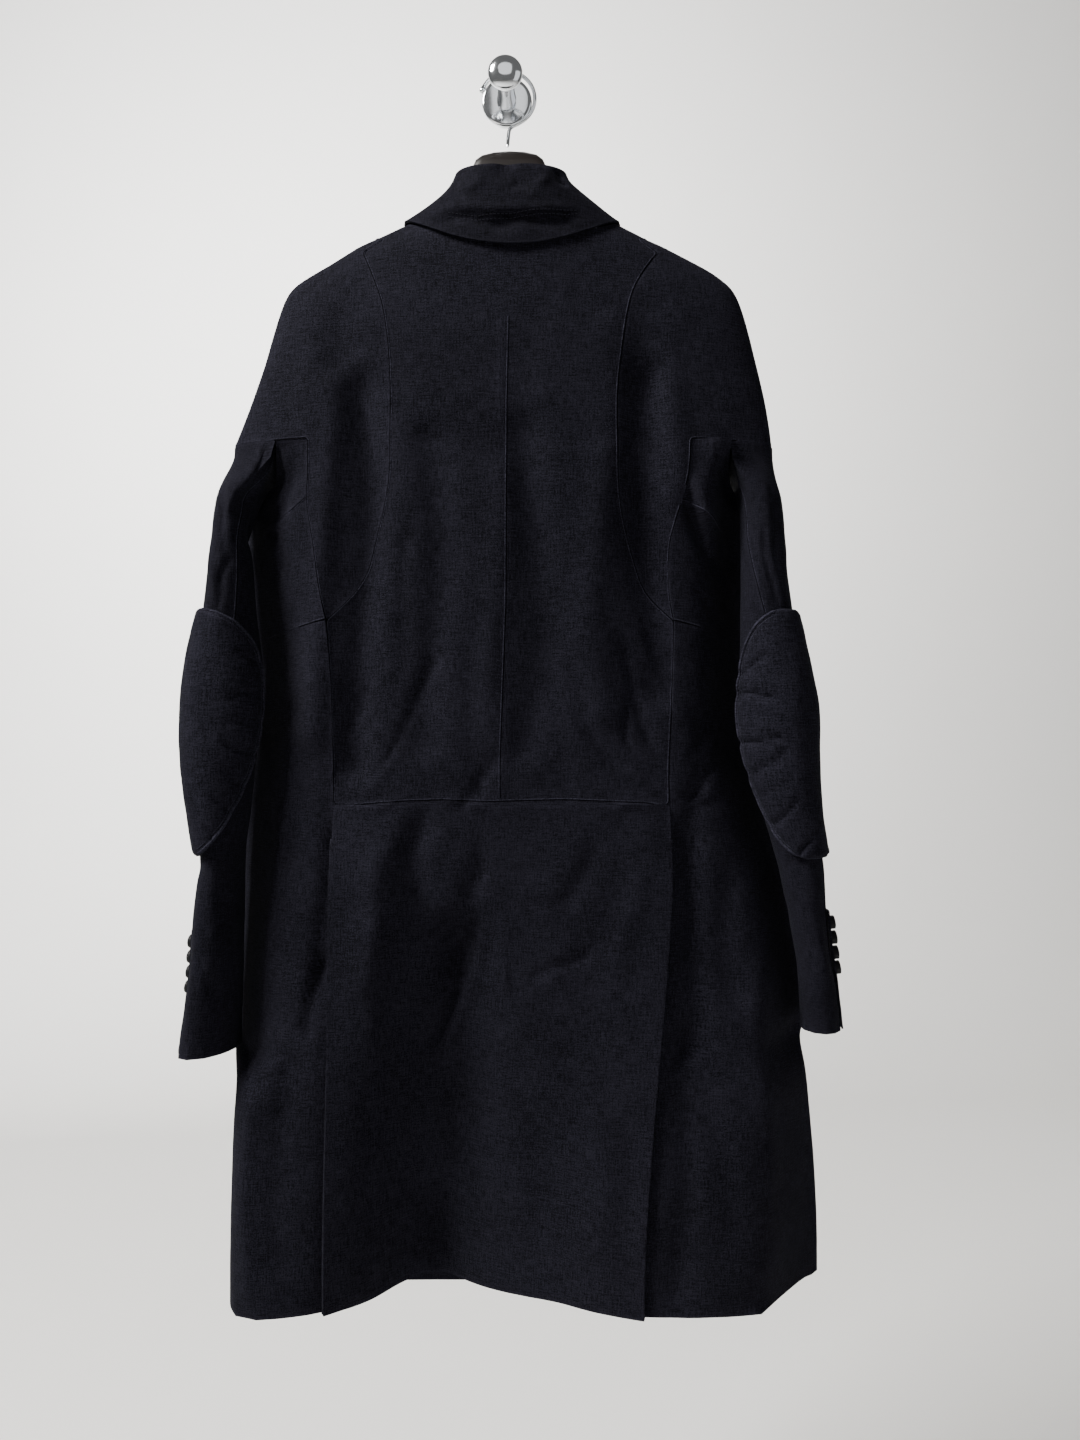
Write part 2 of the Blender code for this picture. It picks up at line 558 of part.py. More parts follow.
class Cloth:
    """All outer faces of the coat on shared points, so that neighbours have the same normals along a seam."""

    def __init__(self):
        self.points, self.index, self.faces = [], {}, []

    def add(self, key, position):
        self.index[key] = len(self.points)
        self.points.append(np.array(position, float))

    def same(self, key, other):
        self.index[key] = self.index[other]

    def face(self, label, *keys):
        ids = []
        for key in keys:
            if self.index[key] not in ids:
                ids.append(self.index[key])
        if len(ids) > 2:
            self.faces.append((label, tuple(ids)))


def build_rings(cloth):
    for ring in range(LAST_RING + 1):
        for column, angle in enumerate(cape_back_angles(ring)):
            cloth.add(("cape", ring, column), cape_point(CAPE, ring, angle, True))
        for side, edge in (("left", 0), ("right", B_END)):
            for column, point in enumerate(cape_front_points(ring, side)):
                if column == 0:
                    cloth.same((side, "front", ring, 0), ("cape", ring, edge))
                else:
                    cloth.add((side, "front", ring, column), point)
    for side, pinch in (("left", B_PINCH), ("right", B_PINCH_R)):
        start = cloth.points[cloth.index["cape", LAST_RING, pinch]]
        end = cloth.points[cloth.index[side, "front", LAST_RING, F_PINCH]]
        inward = np.array((ARMPIT_HALF if side == "left" else -ARMPIT_HALF, 0.0, 0.0))
        for step in range(1, CROTCH_COLS):
            middle = start + (end - start) * step / CROTCH_COLS
            cloth.add((side, "crotch", step), middle + inward)
            cloth.add((side, "armpit", step), middle - inward)


def body_key(row, column):
    """Below the meeting point of both seams the wedge between them is gone."""
    if row >= MERGE_ROW and B_SIDE <= column < B_SADDLE:
        column = B_SADDLE
    if row >= MERGE_ROW and B_SADDLE_R < column <= B_SIDE_R:
        column = B_SADDLE_R
    return ("body", row, column)


def build_body(cloth):
    rows = len(ROWS["z"])
    for column in range(B_PINCH, B_PINCH_R + 1):
        cloth.same(("body", 0, column), ("cape", LAST_RING, column))
        start = cloth.points[cloth.index["cape", LAST_RING, column]]
        for row in range(1, rows):
            if body_key(row, column) == ("body", row, column):
                cloth.add(("body", row, column), body_back_point(row, column, start))
    for side, pinch in (("left", B_PINCH), ("right", B_PINCH_R)):
        for step in range(CROTCH_COLS + FRONT_COLS):
            if step < CROTCH_COLS - 1:
                first = (side, "crotch", step + 1)
            else:
                first = (side, "front", LAST_RING, F_PINCH + step - CROTCH_COLS + 1)
            cloth.same((side, "side", 0, step), first)
            start = cloth.points[cloth.index[first]]
            for row in range(1, rows):
                cloth.add((side, "side", row, step), body_side_point(row, side, step, start))


def sleeve_rows(side):
    top, low = SLEEVE_ROWS[0], SLEEVE_ROWS[-1]
    return [top + (z - top) * (CUFF_Z[side] - top) / (low - top) for z in SLEEVE_ROWS]


def sleeve_ring(side):
    """Keys of a sleeve's first ring from the ridge round its near side, the underarm and its far side."""
    if side == "left":
        keys = [("cape", LAST_RING, c) for c in range(SLEEVE_COLS + 1)]
    else:
        keys = [("cape", LAST_RING, B_END - c) for c in range(SLEEVE_COLS + 1)]
    keys += [(side, "armpit", step) for step in range(1, CROTCH_COLS)]
    return keys + [(side, "front", LAST_RING, c) for c in range(F_PINCH, 0, -1)]


SEAM_NEAR, SEAM_FAR = 45.0, 135.0


def build_sleeve(cloth, side):
    first = sleeve_ring(side)
    degrees = spread(
        (-90.0, SLEEVE_COLS), (SEAM_NEAR, CROTCH_COLS), (SEAM_FAR, SHOULDER_FRONT_COLS), (270.0, 0)
    )[:-1]
    for row, z in enumerate(sleeve_rows(side)):
        blend = smoothstep((SLEEVE_ROWS[0] - z) / SLEEVE_BLEND_HEIGHT)
        turn = at(SLEEVES[side], "turn", z)
        for column, key in enumerate(first):
            if row == 0:
                cloth.same((side, "sleeve", 0, column), key)
                continue
            start = cloth.points[cloth.index[key]]
            point = sleeve_point(side, degrees[column] + turn, z)
            across = start[:2] * (1 - blend) + point[:2] * blend
            cloth.add((side, "sleeve", row, column), np.append(across, z))


def label_faces(cloth):
    def quad(label, a, b, c, d, flip=False):
        cloth.face(label, *((d, c, b, a) if flip else (a, b, c, d)))

    for ring in range(LAST_RING):
        for column in range(B_END):
            label = "back"
            if ring > 0 and column < B_SADDLE:
                label = "saddle_left"
            if ring > 0 and column >= B_SADDLE_R:
                label = "saddle_right"
            low, high = ("cape", ring + 1), ("cape", ring)
            quad(label, (*high, column), (*low, column), (*low, column + 1), (*high, column + 1))
        for side in ("left", "right"):
            for column in range(F_END):
                label = "front_" + side if column >= F_PINCH or ring == 0 else "shoulder_front_" + side
                low, high = (side, "front", ring + 1), (side, "front", ring)
                quad(
                    label, (*high, column), (*high, column + 1), (*low, column + 1), (*low, column),
                    side == "right",
                )
    for row in range(len(ROWS["z"]) - 1):
        for column in range(B_PINCH, B_PINCH_R):
            side = "left" if column < B_CENTRE else "right"
            inner = B_SADDLE <= column < B_SADDLE_R
            outer = column < B_SIDE or column >= B_SIDE_R
            label = "saddle_" + side
            if inner:
                label = "back" if row < WAIST_ROW else "skirt"
            elif outer:
                label = side_label(row) + "_" + side
            if label == "skirt" or (row >= MERGE_ROW and not inner and not outer):
                continue
            keys = [body_key(row, column), body_key(row + 1, column), body_key(row + 1, column + 1)]
            cloth.face(label, *keys, body_key(row, column + 1))
        for side in ("left", "right"):
            pinch = B_PINCH if side == "left" else B_PINCH_R
            steps = range(CROTCH_COLS + FRONT_COLS)
            upper, lower = (
                [("body", r, pinch)] + [(side, "side", r, step) for step in steps] for r in (row, row + 1)
            )
            for step in range(len(upper) - 1):
                label = side_label(row) + "_" + side if step < CROTCH_COLS + 1 else "front_" + side
                quad(label, upper[step], upper[step + 1], lower[step + 1], lower[step], side == "right")
    for side, pinch in (("left", B_PINCH), ("right", B_PINCH_R)):
        start, end = ("cape", LAST_RING, pinch), (side, "front", LAST_RING, F_PINCH)
        inside = [start] + [(side, "crotch", step) for step in range(1, CROTCH_COLS)] + [end]
        outside = [start] + [(side, "armpit", step) for step in range(1, CROTCH_COLS)] + [end]
        for i in range(CROTCH_COLS):
            quad("gusset_" + side, outside[i], outside[i + 1], inside[i + 1], inside[i], side == "right")
        count = len(sleeve_ring(side))
        for row in range(len(SLEEVE_ROWS) - 1):
            for column in range(count):
                after = (column + 1) % count
                label = ("sleeve_" if column <= SLEEVE_COLS else "undersleeve_") + side
                keys = [(side, "sleeve", r, c) for r, c in ((row, column), (row + 1, column))]
                keys += [(side, "sleeve", r, c) for r, c in ((row + 1, after), (row, after))]
                quad(label, *keys, side == "right")


def side_label(row):
    if row < GUSSET_ROW:
        return "gusset"
    return "underarm" if row < MERGE_ROW else "side"


def skirt_lift(row, column):
    """How far the middle skirt stands off the cloth under it, most along both pleat edges."""
    down = smoothstep((ROWS["z"][WAIST_ROW] - ROWS["z"][row]) / PLEAT_START)
    near = min(column - B_SADDLE, B_SADDLE_R - column)
    return PLEAT_LIFT * down * math.exp(-((near / PLEAT_SPREAD) ** 2))


def build_skirt(cloth):
    """The middle skirt with its edges folded under, and the side panels' laps below them."""
    rows = len(ROWS["z"])
    columns = list(range(B_SADDLE, B_SADDLE_R + 1))
    base = np.array([
        [cloth.points[cloth.index["body", r, c]] for c in columns] for r in range(WAIST_ROW, rows)
    ])
    across, down = np.gradient(base, axis=1), np.gradient(base, axis=0)
    normals = np.cross(down, across)
    normals /= np.linalg.norm(normals, axis=2, keepdims=True)
    for column in columns:
        cloth.same(("skirt", WAIST_ROW, column), ("body", WAIST_ROW, column))
    for row in range(WAIST_ROW + 1, rows):
        line, normal = base[row - WAIST_ROW], normals[row - WAIST_ROW]
        panel = [p + n * skirt_lift(row, c) for p, n, c in zip(line, normal, columns)]
        for column, point in zip(columns, panel):
            cloth.add(("skirt", row, column), point)
        for side, order in (("left", 1), ("right", -1)):
            edge, inside = panel[::order], normal[::order]
            out = unit(edge[0] - edge[1])
            for i in range(1, PLEAT_ARC + 1):
                turn = math.pi * i / PLEAT_ARC
                ring = inside[0] * (math.cos(turn) - 1) + out * math.sin(turn)
                cloth.add((side, "turn", row, i), edge[0] + PLEAT_TURN * ring)
            for c in range(1, PLEAT_COLS + 1):
                cloth.add((side, "turn", row, PLEAT_ARC + c), edge[c] - inside[c] * 2 * PLEAT_TURN)
            for c in range(PLEAT_COLS + 1):
                cloth.add((side, "under", row, c), edge[c] - inside[c] * PLEAT_UNDER)


def label_skirt(cloth):
    last = PLEAT_ARC + PLEAT_COLS
    for row in range(WAIST_ROW, len(ROWS["z"]) - 1):
        chains = []
        for r in (row, row + 1):
            chain = [("skirt", r, c) for c in range(B_SADDLE, B_SADDLE_R + 1)]
            if row > WAIST_ROW:
                chain = [("left", "turn", r, i) for i in range(last, 0, -1)] + chain
                chain += [("right", "turn", r, i) for i in range(1, last + 1)]
            chains.append(chain)
        upper, lower = chains
        for i in range(len(upper) - 1):
            cloth.face("back_skirt", upper[i], lower[i], lower[i + 1], upper[i + 1])
        if row == WAIST_ROW:
            continue
        for c in range(PLEAT_COLS):
            corners = ((row, c), (row + 1, c), (row + 1, c + 1), (row, c + 1))
            cloth.face("side_left", *[("left", "under", *corner) for corner in corners])
            cloth.face("side_right", *[("right", "under", *corner) for corner in corners[::-1]])


def pleat_keys(cloth):
    """Below the waist each side panel ends on the first point of its own lap."""
    for row in range(WAIST_ROW + 1, len(ROWS["z"])):
        cloth.same(("body", row, B_SADDLE), ("left", "under", row, 0))
        cloth.same(("body", row, B_SADDLE_R), ("right", "under", row, 0))


def material(kind):
    name, colour, roughness, metallic = kind
    found = bpy.data.materials.get(name)
    if found is None:
        found = bpy.data.materials.new(name)
        found.use_nodes = True
        shader = found.node_tree.nodes["Principled BSDF"]
        shader.inputs["Base Color"].default_value = (*colour, 1.0)
        shader.inputs["Roughness"].default_value = roughness
        shader.inputs["Metallic"].default_value = metallic
        found.diffuse_color = (*colour, 1.0)
    return found


def add_object(name, points, faces, kind):
    mesh = bpy.data.meshes.new(name)
    mesh.from_pydata([tuple(map(float, p)) for p in points], [], faces)
    mesh.validate()
    mesh.shade_smooth()
    mesh.set_sharp_from_angle(angle=math.radians(40))
    mesh.materials.append(material(kind))
    made = bpy.data.objects.new(name, mesh)
    bpy.context.scene.collection.objects.link(made)


def face_normal(points, face):
    a, b = points[face[2]] - points[face[0]], points[face[-1]] - points[face[1]]
    if len(face) == 3:
        a, b = points[face[1]] - points[face[0]], points[face[2]] - points[face[0]]
    return unit(np.cross(a, b))


def vertex_normals(points, faces):
    """Mean of the faces' normals at each point, and how much a wall along it thins."""
    total = [np.zeros(3) for _ in points]
    users = [[] for _ in points]
    for face in faces:
        normal = face_normal(points, face)
        for i in face:
            total[i] = total[i] + normal
            users[i].append(normal)
    normals = [unit(t) for t in total]
    thin = [min([float(n @ u) for u in used] or [1.0]) for n, used in zip(normals, users)]
    return normals, [1 / max(t, 0.78) for t in thin]


def edges_of(faces):
    """Each edge with the faces that use it."""
    found = {}
    for number, face in enumerate(faces):
        for a, b in zip(face, face[1:] + face[:1]):
            found.setdefault(frozenset((a, b)), []).append((number, a, b))
    return found


def seam_shift(seams, free, meeting):
    """How far a piece's point draws back to leave a gap at its seams, wider where four pieces meet."""
    half = SEAM / 2 if meeting < 4 else SEAM * 1.2
    if not seams:
        return np.zeros(3)
    if len(seams) == 1:
        inward = seams[0]
        for direction in free:
            if float(direction @ inward) > 0.5:
                return half * direction / float(direction @ inward)
        return half * inward
    first, second = seams[0], seams[-1]
    if 1 + float(first @ second) < 0.05:
        return np.zeros(3)
    return half * (first + second) / (1 + float(first @ second))


def sew(cloth, slit_points, slit_left):
    """One solid wall for each label, parted from its neighbours along the seams."""
    faces = [face for _, face in cloth.faces]
    points = [np.array(p) for p in cloth.points]
    normals, widen = vertex_normals(points, faces)
    shared = edges_of(faces)
    meeting = [set() for _ in points]
    for name, face in cloth.faces:
        for i in face:
            meeting[i].add(name)
    for label in sorted({name for name, _ in cloth.faces}):
        local, order, mine = {}, [], []
        for number, (name, face) in enumerate(cloth.faces):
            if name != label:
                continue
            ids = []
            for i in face:
                key = (i, number in slit_left) if label == "back" and i in slit_points else (i, None)
                if key not in local:
                    local[key] = len(order)
                    order.append(i)
                ids.append(local[key])
            mine.append(tuple(ids))
        edges = edges_of(mine)
        border = {edge: uses[0] for edge, uses in edges.items() if len(uses) == 1}
        placed = [points[i] for i in order]
        seams, free = {}, {}
        for number, a, b in border.values():
            start, end = points[order[a]], points[order[b]]
            inward = unit(np.cross(face_normal(placed, mine[number]), end - start))
            if len(shared[frozenset((order[a], order[b]))]) > 1:
                seams.setdefault(a, []).append(inward)
                seams.setdefault(b, []).append(inward)
            else:
                free.setdefault(a, []).append(unit(end - start))
                free.setdefault(b, []).append(unit(start - end))
        outer, inner = [], []
        for number, i in enumerate(order):
            shift = seam_shift(seams.get(number, []), free.get(number, []), len(meeting[i]))
            at_seam = points[i] + shift
            outer.append(at_seam)
            inner.append(at_seam - normals[i] * WALL * widen[i])
        close_wall(label, outer, inner, mine, border.values(), CLOTH, order)


def close_wall(name, outer, inner, faces, border, kind, order=None):
    """Both faces of a wall and its edge; neighbours split the edge's faces the same way."""
    count = len(outer)
    order = order or range(count)
    walls = [list(face) for face in faces] + [[i + count for i in face[::-1]] for face in faces]
    for _, a, b in border:
        if order[a] < order[b]:
            walls += [[b, a, b + count], [a, a + count, b + count]]
        else:
            walls += [[b, a, a + count], [b, a + count, b + count]]
    add_object(name, outer + inner, walls, kind)


def add_sheet(name, outer, inner, kind):
    """A wall between two grids of points; without the inner grid it takes the cloth's thickness."""
    rows, columns = len(outer), len(outer[0])
    faces = []
    for r in range(rows - 1):
        for c in range(columns - 1):
            a, b = r * columns + c, (r + 1) * columns + c
            faces.append((a, b, b + 1, a + 1))
    flat = [p for row in outer for p in row]
    if inner is None:
        normals, widen = vertex_normals(flat, faces)
        under = [p - n * WALL * w for p, n, w in zip(flat, normals, widen)]
    else:
        under = [p for row in inner for p in row]
    border = [uses[0] for uses in edges_of(faces).values() if len(uses) == 1]
    close_wall(name, flat, under, faces, border, kind)


def add_lathe(name, profile, centre, axis, segments, kind):
    """A round solid: profile rows are (distance along the axis, radius)."""
    axis = unit(np.array(axis, float))
    side = unit(np.cross(axis, (0.0, 0.3, 1.0)))
    up = np.cross(axis, side)
    points = [np.array(centre) + axis * profile[0][0]]
    for along, radius in profile[1:-1]:
        for i in range(segments):
            turn = 2 * math.pi * i / segments
            spoke = side * math.cos(turn) + up * math.sin(turn)
            points.append(np.array(centre) + axis * along + radius * spoke)
    points.append(np.array(centre) + axis * profile[-1][0])
    faces, rings, last = [], len(profile) - 2, len(points) - 1
    for i in range(segments):
        j = (i + 1) % segments
        faces.append((0, 1 + j, 1 + i))
        for r in range(rings - 1):
            a, b = 1 + r * segments, 1 + (r + 1) * segments
            faces.append((a + i, a + j, b + j, b + i))
        top = 1 + (rings - 1) * segments
        faces.append((last, top + i, top + j))
    add_object(name, points, faces, kind)


def add_tube(name, sections, segments, kind):
    """A solid through sections, each a list of points round it."""
    points = [p for section in sections for p in section]
    faces = []
    for s in range(len(sections) - 1):
        for i in range(segments):
            j = (i + 1) % segments
            a, b = s * segments, (s + 1) * segments
            faces.append((a + i, a + j, b + j, b + i))
    first, last = len(points), len(points) + 1
    points += [np.mean(sections[0], axis=0), np.mean(sections[-1], axis=0)]
    end = (len(sections) - 1) * segments
    for i in range(segments):
        j = (i + 1) % segments
        faces.append((first, j, i))
        faces.append((last, end + i, end + j))
    add_object(name, points, faces, kind)


COLLAR_BACK_COLS, COLLAR_FRONT_COLS = 14, 5


def build_collar():
    grid = []
    for ring in range(len(COLLAR["left"])):
        left, right = COLLAR["left"][ring], COLLAR["right"][ring]
        front = []
        for sign in (-1, 1):
            gap = CENTRE_X + sign * 0.0012
            stop = oval_angle(gap, left, right)
            angles = spread((stop, COLLAR_FRONT_COLS), (sign * EDGE, 0))
            front.append([cape_point(COLLAR, ring, angle, False) for angle in angles])
        angles = spread((-EDGE, COLLAR_BACK_COLS), (EDGE, 0))
        back = [cape_point(COLLAR, ring, angle, True) for angle in angles[1:-1]]
        grid.append(front[0] + back + front[1][::-1])
    add_sheet("collar", grid[::-1], None, CLOTH)


def build_patch(side):
    rows = PATCHES[side]
    outer, inner = [], []
    last = len(rows["z"]) - 1
    for r, z in enumerate(rows["z"]):
        line, under = [], []
        for c in range(PATCH_COLS + 1):
            t = c / PATCH_COLS
            angle = rows["outer"][r] + (rows["inner"][r] - rows["outer"][r]) * t
            dome = PATCH_DOME * math.sqrt((1 - (2 * t - 1) ** 2) * (1 - (2 * r / last - 1) ** 2))
            line.append(sleeve_point(side, angle, z, PATCH_LIFT + PATCH_EDGE + dome))
            under.append(sleeve_point(side, angle, z, PATCH_LIFT))
        order = 1 if side == "left" else -1
        outer.append(line[::order])
        inner.append(under[::order])
    add_sheet("elbow_patch_" + side, outer, inner, PATCH)


def build_vent(side):
    count = 5
    outer, inner = [], []
    for r in range(count + 1):
        z = VENT_TOP[side] + (CUFF_Z[side] + 0.0005 - VENT_TOP[side]) * r / count
        angles = VENT_ANGLES[::-1] if side == "left" else VENT_ANGLES
        outer.append([sleeve_point(side, a, z, VENT_LIFT + VENT_WALL) for a in angles])
        inner.append([sleeve_point(side, a, z, VENT_LIFT) for a in angles])
    add_sheet("cuff_vent_" + side, outer, inner, CLOTH)
    for i in range(4):
        z = VENT_TOP[side] - 0.012 - BUTTON_STEP * i
        foot = sleeve_point(side, VENT_ANGLES[1], z, VENT_LIFT + VENT_WALL + 0.0005)
        axis = foot - sleeve_point(side, VENT_ANGLES[1], z, VENT_LIFT)
        h, r = CUFF_BUTTON_H, CUFF_BUTTON_R
        profile = ((0, 0), (0, r * 0.80), (h * 0.35, r), (h * 0.75, r * 0.80), (h, 0))
        add_lathe(f"cuff_button_{side}_{i + 1}", profile, foot, axis, 12, BUTTON)


def build_front_buttons():
    for i, z in enumerate(FRONT_BUTTON_Z):
        off = at(BODY, "off_front", z)
        h, r = FRONT_BUTTON_H, FRONT_BUTTON_R
        profile = ((0, 0), (0, r * 0.94), (h * 0.5, r), (h, r * 0.92), (h * 0.9, 0))
        add_lathe(f"front_button_{i + 1}", profile, (CENTRE_X, -off + 0.0006, z), (0, 1, 0), 12, BUTTON)


def build_hanger():
    segments = 12
    sections = []
    for x, top, high, thick in zip(*(HANGER[name] for name in ("x", "top", "high", "thick"))):
        ring = []
        for i in range(segments):
            turn = 2 * math.pi * i / segments
            y, z = -HANGER_OFF - thick * math.sin(turn), top - high + high * math.cos(turn)
            ring.append(np.array((x, y, z)))
        sections.append(ring)
    add_tube("hanger_body", sections, segments, WOOD)


def build_wire_hook():
    post_top = -RING_OFF * HOOK_DROOP + POST_R
    centre = post_top + 2 * SEAM + WIRE_R - RING_R
    path = []
    for degrees in range(162, -70, -12):
        turn = math.radians(degrees)
        path.append((RING_X + RING_R * math.cos(turn), centre + RING_R * math.sin(turn), RING_OFF))
    path += [
        (RING_X + 0.0050, centre - 0.0262, RING_OFF), (RING_X + 0.0018, centre - 0.0292, RING_OFF + 0.001),
        (RING_X + 0.0004, -0.0540, RING_OFF + 0.004), (RING_X, -0.0722, HANGER_OFF),
    ]
    points = [np.array((x, -off, z)) for x, z, off in path]
    radii = [WIRE_R] * len(points)
    heading = unit(points[1] - points[0])
    tip = [(-0.0030, 0.0012), (-0.0022, 0.0026), (0.0, 0.0032), (0.0018, 0.0026)]
    points = [points[0] + heading * step for step, _ in tip] + points[1:]
    radii = [radius for _, radius in tip] + radii[1:]
    sections, segments = [], 8
    for i, point in enumerate(points):
        ahead = unit(points[min(i + 1, len(points) - 1)] - points[max(i - 1, 0)])
        if i == len(points) - 1:
            ahead = np.array((0.0, 0.0, -1.0))
        side = unit(np.cross(ahead, (0.0, -1.0, 0.0)))
        up = np.cross(side, ahead)
        turns = [2 * math.pi * k / segments for k in range(segments, 0, -1)]
        sections.append([point + radii[i] * (side * math.cos(t) + up * math.sin(t)) for t in turns])
    add_tube("wire_hook", sections, segments, CHROME)


def build_wall_hook():
    plate = (
        (0, 0), (0, PLATE_R), (PLATE_H - 0.0020, PLATE_R), (PLATE_H - 0.0006, PLATE_R - 0.0012),
        (PLATE_H, PLATE_R - 0.0040), (PLATE_H, 0),
    )
    add_lathe("wall_plate", plate, (0.0, 0.0, 0.0), (0, -1, 0), 32, CHROME)
    start = PLATE_H + SEAM
    profile = (
        (start, 0), (start, 0.0105), (0.0120, 0.0090), (0.0280, POST_R), (0.0430, POST_R), (0.0465, 0.0100),
        (0.0495, 0.0150), (0.0530, KNOB_R), (0.0570, 0.0166), (0.0605, 0.0130), (0.0622, 0.0070), (0.0628, 0),
    )
    segments = 24
    sections = []
    for off, radius in profile[1:-1]:
        z = -off * HOOK_DROOP
        turns = [2 * math.pi * k / segments for k in range(segments, 0, -1)]
        sections.append([np.array((radius * math.sin(t), -off, z + radius * math.cos(t))) for t in turns])
    add_tube("wall_hook", sections, segments, CHROME)


def build():
    for old in list(bpy.data.objects):
        bpy.data.objects.remove(old, do_unlink=True)
    cloth = Cloth()
    build_rings(cloth)
    build_body(cloth)
    build_skirt(cloth)
    pleat_keys(cloth)
    for side in ("left", "right"):
        build_sleeve(cloth, side)
    label_faces(cloth)
    label_skirt(cloth)
    slit = [("cape", ring, B_CENTRE) for ring in range(SLIT_RING + 1, LAST_RING + 1)]
    slit += [("body", row, B_CENTRE) for row in range(1, WAIST_ROW + 1)]
    slit_points = {cloth.index[key] for key in slit}
    left_of = {("cape", r, B_CENTRE - 1) for r in range(LAST_RING + 1)}
    left_of |= {("body", r, B_CENTRE - 1) for r in range(WAIST_ROW + 1)}
    left_ids = {cloth.index[key] for key in left_of}
    slit_left = {
        n for n, (_, face) in enumerate(cloth.faces) if left_ids & set(face) and slit_points & set(face)
    }
    sew(cloth, slit_points, slit_left)
    build_collar()
    for side in ("left", "right"):
        build_patch(side)
        build_vent(side)
    build_front_buttons()
    build_hanger()
    build_wire_hook()
    build_wall_hook()


build()
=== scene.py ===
"""Dresses the dark overcoat over its fixed frame: woven panels with folds, raised seams, stitching,
padded elbow patches, buttons, the brown wooden hanger and the chrome hooks, on a plain pale stage."""

import math

import bmesh
import bpy
import numpy as np
from mathutils import Matrix, Vector
from mathutils.bvhtree import BVHTree
from mathutils.kdtree import KDTree


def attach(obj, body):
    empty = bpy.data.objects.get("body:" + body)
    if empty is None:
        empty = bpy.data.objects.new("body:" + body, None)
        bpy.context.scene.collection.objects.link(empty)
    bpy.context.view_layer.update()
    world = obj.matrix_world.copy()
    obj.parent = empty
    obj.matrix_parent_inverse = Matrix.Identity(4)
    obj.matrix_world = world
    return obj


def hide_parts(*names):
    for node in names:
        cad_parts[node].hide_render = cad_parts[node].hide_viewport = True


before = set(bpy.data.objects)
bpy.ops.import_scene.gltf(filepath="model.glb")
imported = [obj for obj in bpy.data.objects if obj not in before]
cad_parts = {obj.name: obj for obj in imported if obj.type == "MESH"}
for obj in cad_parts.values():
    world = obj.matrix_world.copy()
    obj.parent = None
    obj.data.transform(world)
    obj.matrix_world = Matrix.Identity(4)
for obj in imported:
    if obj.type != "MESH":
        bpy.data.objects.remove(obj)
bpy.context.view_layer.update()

bl_info = {
    "name": "Overcoat on a wall hook",
    "version": (1, 0, 0),
    "blender": (4, 5, 0),
    "location": "3D View > Sidebar > Overcoat",
    "description": "Builds the cloth, stitching, buttons, hanger and hooks of a hung overcoat",
    "category": "Object",
}


def table(columns, *rows):
    """A table with named columns, one row per fold, piece or section."""
    return {name: np.array([row[i] for row in rows], float) for i, name in enumerate(columns.split())}


# What each panel is: which way it faces, subdivision, width and length it is cut from, area of its cut
PANELS = {
    "back": ("back", 3, 0.340, 0.560, 0.140),
    "back_skirt": ("back", 3, 0.400, 0.470, 0.187),
    "saddle_left": ("back", 3, 0.160, 0.370, 0.033),
    "saddle_right": ("back", 3, 0.160, 0.370, 0.032),
    "side_left": ("round", 3, 0.270, 0.650, 0.138),
    "side_right": ("round", 3, 0.300, 0.650, 0.158),
    "underarm_left": ("round", 3, 0.130, 0.140, 0.0143),
    "underarm_right": ("round", 3, 0.130, 0.140, 0.0145),
    "gusset_left": ("round", 3, 0.130, 0.130, 0.0111),
    "gusset_right": ("round", 3, 0.130, 0.130, 0.0116),
    "front_left": ("front", 2, 0.270, 1.030, 0.193),
    "front_right": ("front", 2, 0.280, 1.030, 0.196),
    "shoulder_front_left": ("front", 3, 0.160, 0.200, 0.0125),
    "shoulder_front_right": ("front", 3, 0.160, 0.200, 0.0122),
}
SLEEVES = {
    "sleeve_left": ("sleeve_left", 3, 0.120, 0.570, 0.051),
    "sleeve_right": ("sleeve_right", 3, 0.120, 0.560, 0.049),
    "undersleeve_left": ("sleeve_left", 3, 0.140, 0.570, 0.060),
    "undersleeve_right": ("sleeve_right", 3, 0.140, 0.560, 0.0575),
    "cuff_vent_left": ("sleeve_left", 2, 0.026, 0.113, 0.0029),
    "cuff_vent_right": ("sleeve_right", 2, 0.0235, 0.112, 0.0025),
}
PATCHES = {
    "elbow_patch_left": ("sleeve_left", 3, 0.130, 0.230, 0.024),
    "elbow_patch_right": ("sleeve_right", 3, 0.130, 0.230, 0.0254),
}
COLLAR = {"collar": ("collar", 3, 0.460, 0.110, 0.036)}

# Middle line of each sleeve: height and sideways place
SLEEVE_LINES = {
    "left": table(
        "z x",
        (-0.925, -0.276), (-0.860, -0.270), (-0.800, -0.267), (-0.740, -0.263), (-0.640, -0.264),
        (-0.600, -0.262), (-0.560, -0.259), (-0.520, -0.257), (-0.450, -0.254), (-0.415, -0.254),
        (-0.360, -0.237),
    ),
    "right": table(
        "z x",
        (-0.907, 0.2975), (-0.850, 0.292), (-0.800, 0.284), (-0.750, 0.277), (-0.700, 0.2645),
        (-0.660, 0.257), (-0.600, 0.2525), (-0.560, 0.248), (-0.516, 0.2445), (-0.450, 0.2405),
        (-0.360, 0.236),
    ),
}
SLEEVE_OFF = 0.066
SLEEVE_RADIUS = 0.034
BODY_MIDDLE_OFF = 0.047
FADE = 0.020  # depth over which folds fade towards a panel's other side
WEAR_REACH = 0.0022  # how far from an edge the cloth is worn pale
SEAM_REACH = 0.0030  # panels nearer than this are sewn together
STITCH_INSET = 0.0034  # from the edge of a patch to its stitches
ROW_DROP = 0.0032  # from one row of stitches to the next

